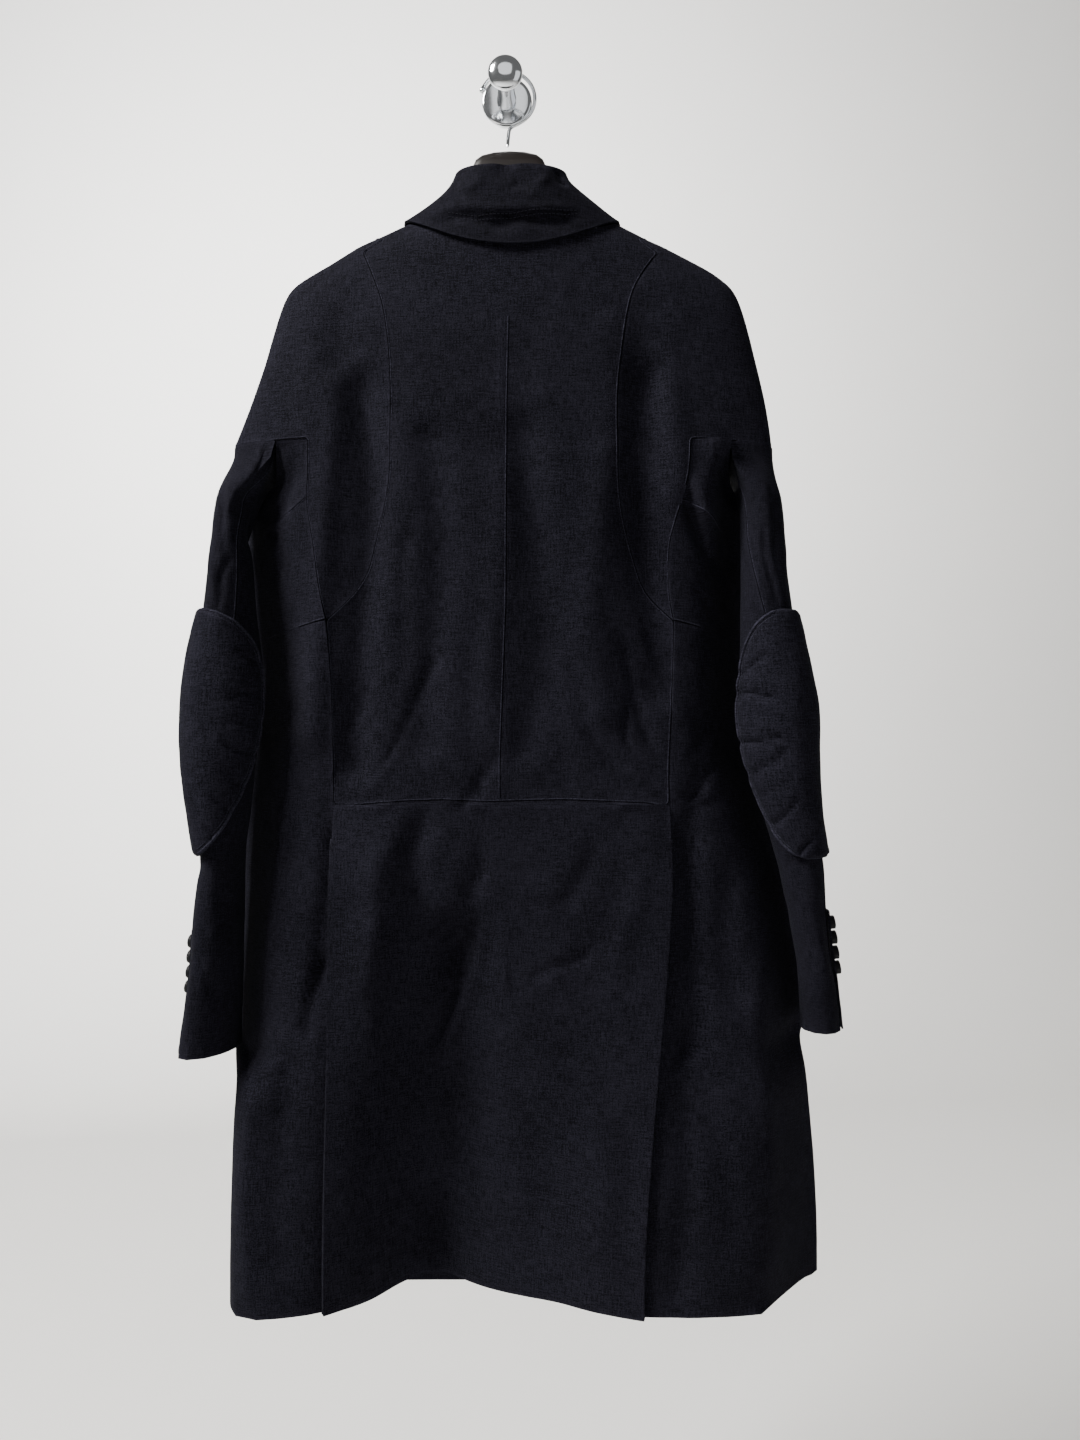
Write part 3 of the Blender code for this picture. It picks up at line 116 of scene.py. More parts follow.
# The side panels swell out a little at this height, to close the gap to the sleeves
FLANK_HEIGHT, FLANK_REACH, FLANK_PUSH = -0.409, 0.013, 0.006
FLANK_BACK, FLANK_BACK_FADE = -0.068, 0.012
FLANK_FRONT, FLANK_FRONT_FADE = -0.018, 0.016



def fold_table(*rows):
    """Folds: a line from its upper to its lower end, half width, depth (a trough is below zero)."""
    return table("x_up z_up x_low z_low width depth", *rows)


BACK_FOLDS = fold_table(
    (-0.130, -0.300, -0.131, -0.670, 0.016, -0.0056),
    (-0.166, -0.300, -0.168, -0.640, 0.016, 0.0042),
    (-0.184, -0.280, -0.180, -0.360, 0.012, 0.0012),
    (0.131, -0.290, 0.134, -0.600, 0.018, -0.0046),
    (0.156, -0.290, 0.160, -0.420, 0.012, 0.0012),
    (0.026, -0.340, 0.026, -0.650, 0.018, -0.0028),
    (-0.066, -0.350, -0.066, -0.650, 0.017, -0.0032),
    (-0.006, -0.380, -0.008, -0.640, 0.014, 0.0020),
    (0.088, -0.360, 0.088, -0.620, 0.017, 0.0026),
    (-0.022, -0.520, -0.030, -0.680, 0.010, -0.0009),
    (0.046, -0.540, 0.050, -0.680, 0.010, -0.0008),
    (-0.006, -0.655, -0.046, -0.700, 0.006, -0.0016),
    (-0.052, -0.690, -0.020, -0.696, 0.004, 0.0014),
    (0.104, -0.697, 0.146, -0.693, 0.004, 0.0014),
    (0.112, -0.598, 0.114, -0.640, 0.004, -0.0018),
    (-0.138, -0.700, -0.100, -0.694, 0.004, 0.0012),
    (-0.085, -0.440, -0.098, -0.580, 0.008, -0.0010),
    (-0.060, -0.560, -0.110, -0.660, 0.006, -0.0016),
    (-0.075, -0.600, -0.118, -0.680, 0.004, 0.0010),
    (-0.120, -0.560, -0.146, -0.640, 0.006, -0.0010),
    (0.105, -0.545, 0.137, -0.640, 0.006, -0.0022),
    (0.122, -0.530, 0.150, -0.600, 0.005, 0.0010),
    (0.070, -0.600, 0.110, -0.680, 0.007, -0.0010),
    (0.040, -0.640, 0.060, -0.690, 0.006, -0.0008),
    (-0.030, -0.650, -0.020, -0.690, 0.006, -0.0008),
    (0.000, -0.600, -0.004, -0.690, 0.008, 0.0007),
    (-0.090, -0.220, -0.060, -0.240, 0.010, 0.0006),
    (0.060, -0.225, 0.095, -0.245, 0.010, -0.0007),
)
SKIRT_FOLDS = fold_table(
    (-0.048, -0.800, -0.052, -1.210, 0.028, -0.0074),
    (-0.134, -0.800, -0.134, -1.160, 0.020, 0.0034),
    (-0.082, -0.705, -0.078, -0.800, 0.013, -0.0042),
    (-0.024, -0.745, -0.022, -0.850, 0.012, -0.0016),
    (-0.106, -0.735, -0.128, -0.860, 0.012, 0.0022),
    (-0.034, -0.822, -0.070, -0.930, 0.009, -0.0042),
    (-0.018, -0.812, -0.052, -0.925, 0.006, 0.0018),
    (0.030, -0.855, 0.082, -0.827, 0.0045, -0.0018),
    (0.026, -0.789, 0.058, -0.778, 0.0040, -0.0009),
    (0.078, -0.829, 0.118, -0.842, 0.0050, 0.0011),
    (0.012, -0.812, 0.032, -0.850, 0.0100, -0.0012),
    (-0.002, -0.830, 0.001, -0.868, 0.0035, 0.0016),
    (-0.020, -0.730, -0.034, -0.790, 0.007, -0.0012),
    (0.080, -0.722, 0.060, -0.800, 0.010, -0.0014),
    (0.120, -0.760, 0.100, -0.880, 0.010, 0.0012),
    (-0.135, -0.880, -0.120, -1.020, 0.010, -0.0014),
    (-0.060, -0.960, -0.050, -1.120, 0.014, 0.0016),
    (0.020, -0.920, 0.030, -1.100, 0.014, -0.0012),
    (0.080, -0.920, 0.085, -1.120, 0.012, 0.0010),
    (-0.100, -1.060, -0.060, -1.130, 0.008, -0.0012),
    (0.110, -1.000, 0.120, -1.140, 0.010, -0.0012),
)
SIDE_FOLDS = fold_table(
    (-0.166, -0.300, -0.168, -0.640, 0.016, 0.0042),
    (-0.163, -0.725, -0.164, -0.880, 0.010, -0.0032),
    (0.196, -0.346, 0.202, -0.470, 0.013, 0.0058),
    (-0.166, -0.840, -0.187, -0.908, 0.006, -0.0030),
    (0.178, -0.715, 0.166, -0.930, 0.013, -0.0040),
    (0.166, -0.900, 0.158, -1.150, 0.011, -0.0034),
    (-0.190, -0.640, -0.200, -0.760, 0.010, -0.0016),
    (-0.215, -0.700, -0.225, -0.880, 0.010, 0.0018),
    (-0.200, -0.920, -0.205, -1.120, 0.012, -0.0018),
    (-0.232, -0.960, -0.236, -1.140, 0.008, 0.0014),
    (0.172, -0.690, 0.200, -0.660, 0.004, -0.0022),
    (0.166, -0.680, 0.190, -0.640, 0.004, 0.0014),
    (0.160, -0.720, 0.195, -0.690, 0.005, -0.0016),
    (0.180, -0.610, 0.178, -0.700, 0.009, -0.0026),
    (0.200, -0.760, 0.215, -0.880, 0.012, -0.0022),
    (0.235, -0.840, 0.250, -1.040, 0.012, 0.0020),
    (0.185, -0.900, 0.205, -1.100, 0.014, -0.0018),
    (0.260, -0.980, 0.272, -1.140, 0.010, -0.0014),
    (0.178, -0.498, 0.198, -0.520, 0.004, -0.0014),
    (-0.210, -0.455, -0.222, -0.505, 0.005, -0.0018),
    (-0.225, -0.420, -0.214, -0.440, 0.004, 0.0010),
    (0.163, -0.408, 0.212, -0.494, 0.006, -0.0046),
    (0.176, -0.398, 0.216, -0.458, 0.007, 0.0030),
    (-0.236, -0.424, -0.214, -0.452, 0.005, -0.0024),
    (-0.200, -0.372, -0.226, -0.420, 0.007, 0.0026),
)
FRONT_FOLDS = fold_table(
    (-0.140, -0.300, -0.120, -0.480, 0.016, -0.0016),
    (0.140, -0.310, 0.126, -0.470, 0.016, -0.0016),
    (-0.090, -0.560, -0.060, -0.700, 0.012, 0.0012),
    (0.090, -0.540, 0.060, -0.690, 0.012, -0.0010),
    (-0.150, -0.760, -0.180, -1.080, 0.022, -0.0020),
    (-0.080, -0.820, -0.100, -1.120, 0.020, 0.0018),
    (0.080, -0.800, 0.100, -1.120, 0.022, -0.0018),
    (0.170, -0.780, 0.200, -1.100, 0.020, 0.0018),
    (-0.160, -0.480, -0.120, -0.560, 0.008, -0.0012),
    (0.160, -0.480, 0.120, -0.570, 0.008, -0.0012),
)
SLEEVE_FOLDS = fold_table(
    (-0.216, -0.362, -0.244, -0.430, 0.005, -0.0034),
    (-0.262, -0.400, -0.250, -0.470, 0.005, -0.0020),
    (-0.270, -0.430, -0.262, -0.500, 0.005, 0.0014),
    (-0.250, -0.470, -0.262, -0.515, 0.004, -0.0016),
    (-0.276, -0.750, -0.258, -0.790, 0.005, -0.0014),
    (-0.262, -0.760, -0.270, -0.860, 0.006, 0.0012),
    (-0.282, -0.830, -0.262, -0.870, 0.005, -0.0014),
    (0.244, -0.400, 0.252, -0.480, 0.005, -0.0016),
    (0.258, -0.390, 0.262, -0.470, 0.005, 0.0012),
    (0.236, -0.440, 0.246, -0.510, 0.004, -0.0018),
    (0.270, -0.760, 0.290, -0.800, 0.005, -0.0014),
    (0.296, -0.780, 0.300, -0.880, 0.006, -0.0014),
    (0.288, -0.830, 0.306, -0.870, 0.005, 0.0012),
)
COLLAR_FOLDS = fold_table(
    (-0.058, -0.157, 0.004, -0.163, 0.0065, -0.0024),
    (-0.004, -0.163, 0.064, -0.156, 0.0065, -0.0022),
    (-0.050, -0.149, 0.056, -0.149, 0.0050, 0.0018),
    (0.002, -0.100, 0.012, -0.130, 0.0110, -0.0022),
    (0.012, -0.122, 0.020, -0.136, 0.0070, -0.0010),
    (-0.024, -0.106, -0.028, -0.130, 0.0080, 0.0012),
    (0.034, -0.106, 0.040, -0.124, 0.0070, 0.0012),
    (0.046, -0.108, 0.058, -0.122, 0.0035, -0.0020),
    (-0.046, -0.112, -0.040, -0.136, 0.0050, -0.0014),
)
# Puckers of the padded patches, from the rim towards their middle
PATCH_FOLDS = fold_table(
    (0.2120, -0.5938, 0.2440, -0.5950, 0.0024, -0.0026),
    (0.2130, -0.6408, 0.2530, -0.6300, 0.0026, -0.0030),
    (0.2190, -0.6728, 0.2600, -0.6390, 0.0028, -0.0026),
    (0.2400, -0.7162, 0.2670, -0.6890, 0.0026, -0.0022),
    (0.2130, -0.5762, 0.2390, -0.5580, 0.0024, -0.0020),
    (0.2620, -0.7466, 0.2790, -0.7230, 0.0022, -0.0020),
    (0.2220, -0.6130, 0.2440, -0.6140, 0.0024, -0.0014),
    (0.2360, -0.6890, 0.2600, -0.6690, 0.0024, -0.0016),
    (0.2620, -0.5600, 0.2700, -0.6800, 0.0110, 0.0012),
    (-0.2240, -0.5930, -0.2480, -0.5960, 0.0024, -0.0022),
    (-0.2230, -0.6200, -0.2500, -0.6170, 0.0024, -0.0016),
    (-0.2240, -0.6520, -0.2540, -0.6380, 0.0028, -0.0026),
    (-0.2280, -0.6820, -0.2560, -0.6630, 0.0026, -0.0022),
    (-0.2380, -0.7080, -0.2620, -0.6900, 0.0024, -0.0020),
    (-0.2560, -0.7300, -0.2700, -0.7120, 0.0022, -0.0018),
    (-0.2260, -0.5640, -0.2440, -0.5560, 0.0024, -0.0014),
    (-0.2760, -0.5600, -0.2780, -0.6800, 0.0110, 0.0012),
)


def length_of(name, description, default, precision=5):
    return bpy.props.FloatProperty(
        name=name, description=description, default=default, unit="LENGTH", precision=precision)


def share_of(name, description, default):
    return bpy.props.FloatProperty(name=name, description=description, default=default, min=0.0, max=2.0)


def power_of(name, description, default):
    return bpy.props.FloatProperty(name=name, description=description, default=default)


def colour_of(name, description, default):
    return bpy.props.FloatVectorProperty(
        name=name, description=description, default=default, subtype="COLOR")


class ClothSizes(bpy.types.PropertyGroup):
    """Sizes of the cloth, its seams and its stitching."""

    weld: length_of("Weld", "Distance under which loose corners are joined", 0.00002, 6)
    yarn: length_of("Yarn", "Pitch of the weave", 0.0009)
    fold: share_of("Folds", "Share of each fold's depth", 1.75)
    pucker: share_of("Puckers", "Share of each pucker's depth on the elbow patches", 1.25)
    ridge: length_of("Ridge", "Thickness of the raised edge along a seam", 0.0011)
    rim: length_of("Patch rim", "Thickness of the roll round an elbow patch", 0.0030)
    stitch: length_of("Stitch", "Length of one stitch", 0.0026)
    stitch_gap: length_of("Stitch gap", "Gap between two stitches", 0.0010)
    thread: length_of("Thread", "Thickness of the sewing thread", 0.0006)
    waviness: length_of("Waviness", "Height of the cloth's small unevenness", 0.00035)


class CoatColours(bpy.types.PropertyGroup):
    """Colours of the coat, the hanger and the hooks."""

    cloth: colour_of("Cloth", "Main colour of the weave", (0.0046, 0.0045, 0.0066))
    yarn: colour_of("Yarn", "Colour of the thicker, paler yarns", (0.0146, 0.0142, 0.0212))
    thread: colour_of("Thread", "Colour of the sewing thread", (0.0120, 0.0118, 0.0170))
    button: colour_of("Buttons", "Colour of the buttons", (0.0024, 0.0024, 0.0030))
    wood: colour_of("Wood", "Colour of the hanger", (0.0070, 0.0052, 0.0048))
    chrome: colour_of("Chrome", "Colour of the hooks", (0.8200, 0.8400, 0.8700))
    floor: colour_of("Floor", "Colour of the floor", (0.8300, 0.8200, 0.8000))


class StageSizes(bpy.types.PropertyGroup):
    """Floor, lights and camera."""

    floor_z: length_of("Floor height", "Height of the floor below the wall plate", -1.75, 2)
    floor_size: length_of("Floor size", "Side of the floor", 14.0, 2)
    rise_y: length_of("Rise place", "Distance behind the wall plate where the floor sweeps up", 1.9, 2)
    rise: length_of("Rise", "Radius of the floor's upward sweep", 2.0, 2)
    camera_off: length_of("Camera distance", "Distance from the wall to the camera", 1.0, 2)
    key: power_of("Key light", "Power of the main light, in watts", 300.0)
    fill: power_of("Fill light", "Power of the fill light, in watts", 14.0)
    rear: power_of("Rear light", "Power of the light behind, in watts", 480.0)
    card: power_of("Card", "Power of the card that the chrome mirrors, in watts", 5.5)
    sky: power_of("Surroundings", "Brightness of the pale surroundings", 0.15)


class Value:
    """A shader socket on which sums can be written."""

    def __init__(self, finish, socket):
        self.finish, self.socket = finish, socket

    def sum_with(self, operation, first, second=None):
        values = [first] if second is None else [first, second]
        return self.finish.add("ShaderNodeMath", {"operation": operation}, *values)

    def __add__(self, other):
        return self.sum_with("ADD", self, other)

    def __radd__(self, other):
        return self.sum_with("ADD", other, self)

    def __sub__(self, other):
        return self.sum_with("SUBTRACT", self, other)

    def __rsub__(self, other):
        return self.sum_with("SUBTRACT", other, self)

    def __mul__(self, other):
        return self.sum_with("MULTIPLY", self, other)

    def __rmul__(self, other):
        return self.sum_with("MULTIPLY", other, self)

    def wave(self):
        return self.sum_with("SINE", self)

    def held(self, low, high):
        return self.sum_with("MINIMUM", self.sum_with("MAXIMUM", self, low), high)


class Finish:
    """A node material in the making."""

    def __init__(self, name):
        self.material = bpy.data.materials.new(name)
        self.material.use_nodes = True
        self.tree = self.material.node_tree
        self.shader = self.tree.nodes["Principled BSDF"]

    def add(self, kind, settings, *values, output=0, **named):
        """A node of a kind: its settings first, then the values or links of its sockets."""
        node = self.tree.nodes.new(kind)
        for name, value in settings.items():
            setattr(node, name, value)
        for key, value in [*enumerate(values), *named.items()]:
            self.give(node.inputs[key if isinstance(key, int) else key.replace("_", " ")], value)
        return Value(self, node.outputs[output])

    def give(self, socket, value):
        if isinstance(value, Value):
            self.tree.links.new(value.socket, socket)
        else:
            socket.default_value = value

    def set(self, **named):
        for key, value in named.items():
            self.give(self.shader.inputs[key.replace("_", " ")], value)

    def stretched(self, place, across, down, depth=1.0):
        return self.add("ShaderNodeVectorMath", {"operation": "MULTIPLY"}, place, (across, down, depth))

    def noise(self, place, scale, detail=2.0, roughness=0.5):
        return self.add(
            "ShaderNodeTexNoise", {}, Vector=place, Scale=scale, Detail=detail, Roughness=roughness)

    def between(self, share, first, second):
        """A mix of two colours. The node's colour sockets have numbers of their own."""
        node = self.tree.nodes.new("ShaderNodeMix")
        node.data_type = "RGBA"
        for index, value in ((0, share), (6, first), (7, second)):
            self.give(node.inputs[index], value)
        return Value(self, node.outputs[2])

    def shades(self, share, colour, dark, pale):
        """One colour, from a darker shade to a paler one."""
        return self.between(share, opaque(colour, dark), opaque(colour, pale))

    def part(self, vector, letter):
        return self.add("ShaderNodeSeparateXYZ", {}, vector, output="XYZ".index(letter))

    def bump(self, height, distance, strength):
        return self.add("ShaderNodeBump", {}, Strength=strength, Distance=distance, Height=height)

    def place(self):
        return self.add("ShaderNodeTexCoord", {}, output=3)


def opaque(colour, factor):
    return (*[channel * factor for channel in colour], 1.0)


def woven(name, paleness=1.0):
    """Blue-black linen-like weave, with uneven yarns and paler worn edges."""
    sizes, colours = bpy.context.scene.cloth_sizes, bpy.context.scene.coat_colours
    finish = Finish(name)
    grain = finish.add("ShaderNodeAttribute", {"attribute_name": "grain"}, output=1)
    wear = finish.add("ShaderNodeAttribute", {"attribute_name": "wear"}, output=2)
    across = finish.noise(finish.stretched(grain, 75.0, 860.0), 1.0, 3.0, 0.7)
    along = finish.noise(finish.stretched(grain, 860.0, 75.0), 1.0, 3.0, 0.7)
    speckle = finish.noise(grain, 760.0, 2.0, 0.7)
    cloud = finish.noise(finish.place(), 14.0, 4.0, 0.6)
    turns = 2 * math.pi / sizes.yarn
    weave = (finish.part(grain, "X") * turns).wave() * (finish.part(grain, "Y") * turns).wave()
    yarns = (across + along) * 0.5
    uneven = (yarns - 0.5) * 3.4 + (speckle - 0.5) * 2.4 + (cloud - 0.5) * 0.6
    pale = (uneven + 0.38 + wear * 0.25).held(0.0, 1.0)
    base = finish.between(pale, opaque(colours.cloth, 0.55 * paleness), opaque(colours.yarn, paleness))
    finish.set(Base_Color=base)
    finish.set(Roughness=(speckle * 0.16 + 0.80).held(0.0, 1.0))
    height = yarns * 1.6 + speckle * 0.5 + weave * 0.20
    finish.set(Normal=finish.bump(height, 0.0006, 0.55))
    finish.set(Sheen_Weight=0.01, Sheen_Roughness=0.4, Specular_IOR_Level=0.02)
    finish.shader.inputs["Sheen Tint"].default_value = (0.62, 0.66, 0.80, 1.0)
    return finish.material


def spun_thread():
    colours = bpy.context.scene.coat_colours
    finish = Finish("thread")
    twist = finish.noise(finish.place(), 1400.0, 1.0)
    base = finish.shades(twist, colours.thread, 0.6, 1.6)
    finish.set(Base_Color=base, Roughness=twist * 0.2 + 0.6, Normal=finish.bump(twist, 0.0002, 0.4))
    finish.set(Specular_IOR_Level=0.05)
    return finish.material


def button_finish():
    colours = bpy.context.scene.coat_colours
    finish = Finish("button")
    swirl = finish.noise(finish.place(), 180.0, 3.0, 0.6)
    base = finish.shades(swirl, colours.button, 0.6, 1.8)
    finish.set(Base_Color=base, Roughness=swirl * 0.25 + 0.45, Normal=finish.bump(swirl, 0.0002, 0.25))
    finish.set(Coat_Weight=0.04, Coat_Roughness=0.35, Specular_IOR_Level=0.12)
    return finish.material


def lacquered_wood():
    colours = bpy.context.scene.coat_colours
    finish = Finish("lacquered_wood")
    grain = finish.noise(finish.stretched(finish.place(), 9.0, 160.0, 160.0), 1.0, 4.0, 0.6)
    pores = finish.noise(finish.stretched(finish.place(), 40.0, 900.0, 900.0), 1.0, 1.0)
    share = (grain * 1.5 - 0.25 + (pores - 0.5) * 0.4).held(0.0, 1.0)
    finish.set(Base_Color=finish.shades(share, colours.wood, 0.55, 1.7))
    finish.set(Roughness=(grain * 0.18 + 0.30).held(0.0, 1.0), Normal=finish.bump(pores, 0.0003, 0.15))
    finish.set(Coat_Weight=0.10, Coat_Roughness=0.25, Specular_IOR_Level=0.25)
    return finish.material


def polished_chrome():
    colours = bpy.context.scene.coat_colours
    finish = Finish("polished_chrome")
    haze = finish.noise(finish.place(), 90.0, 3.0, 0.6)
    finish.set(Base_Color=finish.shades(haze, colours.chrome, 0.92, 1.04))
    finish.set(Metallic=1.0, Roughness=(haze * 0.10 + 0.06).held(0.0, 1.0))
    finish.set(Normal=finish.bump(haze, 0.0002, 0.03))
    return finish.material


def painted_floor():
    colours = bpy.context.scene.coat_colours
    finish = Finish("painted_floor")
    cloud = finish.noise(finish.place(), 3.0, 4.0, 0.6)
    finish.set(Base_Color=finish.shades(cloud, colours.floor, 0.985, 1.015))
    finish.set(Roughness=cloud * 0.1 + 0.75)
    return finish.material


MAKERS = {
    "woven_cloth": lambda: woven("woven_cloth"),
    # painted highlight: a paler copy of the weave for raised seam edges, patch rims and ridges, standing
    # for the light they catch
    "painted_highlight_cloth": lambda: woven("painted_highlight_cloth", 1.9),
    # painted shadow: a much darker copy of the weave for the thin lines beside seams and inside patch rims,
    # standing for the shade in the groove
    "painted_shadow_cloth": lambda: woven("painted_shadow_cloth", 0.25),
    "patch_weave": lambda: woven("patch_weave", 1.08),
    # painted shade: the collar's weave made darker, standing for the shade it lies in
    "collar_weave_painted_shade": lambda: woven("collar_weave_painted_shade", 0.70),
    # painted shade: the sleeves' weave made a little darker, standing for the shade on them
    "sleeve_weave_painted_shade": lambda: woven("sleeve_weave_painted_shade", 0.90),
    "thread": spun_thread,
    "button": button_finish,
    "lacquered_wood": lacquered_wood,
    "polished_chrome": polished_chrome,
    "painted_floor": painted_floor,
}


def dress(piece, name):
    """Gives a piece one of the finishes, made on its first use."""
    finish = bpy.data.materials.get(name) or MAKERS[name]()
    piece.data.materials.clear()
    piece.data.materials.append(finish)


def smooth_share(values):
    values = np.clip(values, 0.0, 1.0)
    return values * values * (3 - 2 * values)


def fold_heights(points, folds):
    """How far the folds move points out, by their place across and down."""
    total = np.zeros(len(points))
    across, down = points[:, 0], points[:, 2]
    for i in range(len(folds["depth"])):
        start = np.array((folds["x_up"][i], folds["z_up"][i]))
        along = np.array((folds["x_low"][i], folds["z_low"][i])) - start
        length = float(np.linalg.norm(along))
        along = along / length
        reach = (across - start[0]) * along[0] + (down - start[1]) * along[1]
        aside = (across - start[0]) * along[1] - (down - start[1]) * along[0]
        aside = aside + folds["width"][i] * 0.5 * np.sin(reach / length * 5.0 + i)
        fade = min(0.4 * length, 0.03)
        ends = smooth_share((reach + fade * 0.5) / fade)
        ends = ends * smooth_share((length + fade * 0.5 - reach) / fade)
        total += folds["depth"][i] * ends * np.exp(-((aside / folds["width"][i]) ** 2))
    return total


def waviness(points):
    """Small seeded unevenness, the same on both faces of the cloth."""
    drawn = np.random.default_rng(11)
    total = np.zeros(len(points))
    for _ in range(14):
        turn, length = drawn.uniform(0, math.pi), drawn.uniform(0.014, 0.060)
        wave = (points[:, 0] * math.cos(turn) + points[:, 2] * math.sin(turn)) * 2 * math.pi / length
        total += np.sin(wave + drawn.uniform(0, 6.3)) * (length / 0.060)
    return total / 4


def unit(vectors, least=1e-9):
    return vectors / np.maximum(np.linalg.norm(vectors, axis=-1, keepdims=True), least)


def sleeve_middle(side, heights):
    line = SLEEVE_LINES[side]
    return np.interp(heights, line["z"], line["x"])


def turn_round(side, points):
    """The angle of each point round its sleeve's middle line, 0 towards the room."""
    return np.arctan2(points[:, 0] - sleeve_middle(side, points[:, 2]), -(points[:, 1] + SLEEVE_OFF))


def outward(kind, points):
    """The way out of the cloth at each point, and how fully a fold moves it there."""
    out = np.zeros_like(points)
    if kind in ("back", "collar"):
        out[:, 1] = -1.0
        full = smooth_share((-0.052 - points[:, 1]) / FADE) if kind == "collar" else np.ones(len(points))
    elif kind == "front":
        out[:, 1] = 1.0
        full = smooth_share((points[:, 1] + 0.048) / FADE)
    elif kind == "round":
        behind = points[:, 1] + BODY_MIDDLE_OFF
        out[:, 1] = np.sign(behind)
        full = smooth_share(np.abs(behind) / FADE)
    else:
        side = kind.split("_")[1]
        aside = points[:, 0] - sleeve_middle(side, points[:, 2])
        out[:, :2] = unit(np.stack((aside, points[:, 1] + SLEEVE_OFF), axis=1), 1e-6)
        full = np.ones(len(points))
    return out, full


FOLDS = {
    "back": (BACK_FOLDS, SKIRT_FOLDS),
    "round": (SIDE_FOLDS,),
    "front": (FRONT_FOLDS,),
    "collar": (COLLAR_FOLDS,),
}


def folds_at(kind, points, patch):
    """All folds at these points: those of the near side, and softer ones on the hidden side."""
    total = np.zeros(len(points))
    if kind in FOLDS:
        for folds in FOLDS[kind]:
            total += fold_heights(points, folds)
        return total
    near = smooth_share((-SLEEVE_OFF - points[:, 1] + 0.006) / 0.012)
    total += fold_heights(points, PATCH_FOLDS if patch else SLEEVE_FOLDS) * near
    if not patch:
        shifted = points + np.array((0.0, 0.0, 0.028))
        total += fold_heights(shifted, SLEEVE_FOLDS) * (1 - near)
    return total


def choose(piece):
    bpy.ops.object.select_all(action="DESELECT")
    piece.select_set(True)
    bpy.context.view_layer.objects.active = piece


def subdivide(piece, level):
    """Adds the smoothing, which is applied later."""
    smoother = piece.modifiers.new("smooth", "SUBSURF")
    smoother.levels = smoother.render_levels = level
    return smoother


def apply(piece, modifier):
    choose(piece)
    bpy.ops.object.modifier_apply(modifier=modifier.name)


def round_edges(piece, width, segments, degrees):
    rounding = piece.modifiers.new("rounding", "BEVEL")
    rounding.width, rounding.segments, rounding.limit_method = width, segments, "ANGLE"
    rounding.angle_limit = math.radians(degrees)
    apply(piece, rounding)


def select_facing(piece, axis, way=1):
    """In edit mode, selects the faces that look along an axis."""
    bpy.ops.mesh.select_all(action="DESELECT")
    work = bmesh.from_edit_mesh(piece.data)
    for face in work.faces:
        face.select = face.normal[axis] * way > 0.9
    bmesh.update_edit_mesh(piece.data)


def points_of(piece):
    flat = np.empty(len(piece.data.vertices) * 3)
    piece.data.vertices.foreach_get("co", flat)
    return flat.reshape(-1, 3)


def set_points(piece, points):
    piece.data.vertices.foreach_set("co", points.reshape(-1))
    piece.data.update()


def add_values(piece, name, kind, values):
    layer = piece.data.attributes.new(name, kind, "POINT")
    field = "vector" if kind == "FLOAT_VECTOR" else "value"
    layer.data.foreach_set(field, np.asarray(values, np.float32).reshape(-1))


def welded_copy(node, name):
    """A copy of a frame node with its loose corners joined, ready to be worked on."""
    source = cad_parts[node]
    piece = source.copy()
    piece.data = source.data.copy()
    piece.name, piece.parent = name, None
    for key in list(piece.keys()):
        del piece[key]
    bpy.context.scene.collection.objects.link(piece)
    choose(piece)
    bpy.ops.object.mode_set(mode="EDIT")
    bpy.ops.mesh.select_all(action="SELECT")
    bpy.ops.mesh.remove_doubles(threshold=bpy.context.scene.cloth_sizes.weld)
    bpy.ops.mesh.tris_convert_to_quads(face_threshold=math.radians(28), shape_threshold=math.radians(60))
    bpy.ops.mesh.customdata_custom_splitnormals_clear()
    bpy.ops.object.mode_set(mode="OBJECT")
    return piece


def hold_edges(piece, kind, degrees=58.0):
    """Keeps the cut edges sharp through the subdivision, and marks the outer face of the wall."""
    mesh = piece.data
    work = bmesh.new()
    work.from_mesh(mesh)
    crease = work.edges.layers.float.new("crease_edge")
    for edge in work.edges:
        if len(edge.link_faces) == 2 and edge.calc_face_angle(0.0) > math.radians(degrees):
            edge[crease] = 1.0
            edge.seam = True
    sharp = work.verts.layers.float.new("crease_vert")
    for corner in work.verts:
        held = [edge for edge in corner.link_edges if edge[crease] > 0.5]
        if len(held) > 2:
            corner[sharp] = 1.0
        elif len(held) == 2:
            away = [(edge.other_vert(corner).co - corner.co) for edge in held]
            if all(way.length > 1e-7 for way in away):
                if math.pi - away[0].angle(away[1]) > math.radians(24):
                    corner[sharp] = 1.0
    points = np.array([v.co[:] for v in work.verts])
    out, _ = outward(kind, points)
    outer = np.zeros(len(points))
    for i, corner in enumerate(work.verts):
        lean = sum(face.normal.dot(Vector(out[i])) * face.calc_area() for face in corner.link_faces)
        outer[i] = 1.0 if lean > 0 else 0.0
    work.to_mesh(mesh)
    work.free()
    add_values(piece, "outer", "FLOAT", outer)


def values_of(piece, name):
    values = np.empty(len(piece.data.vertices))
    piece.data.attributes[name].data.foreach_get("value", values)
    return values


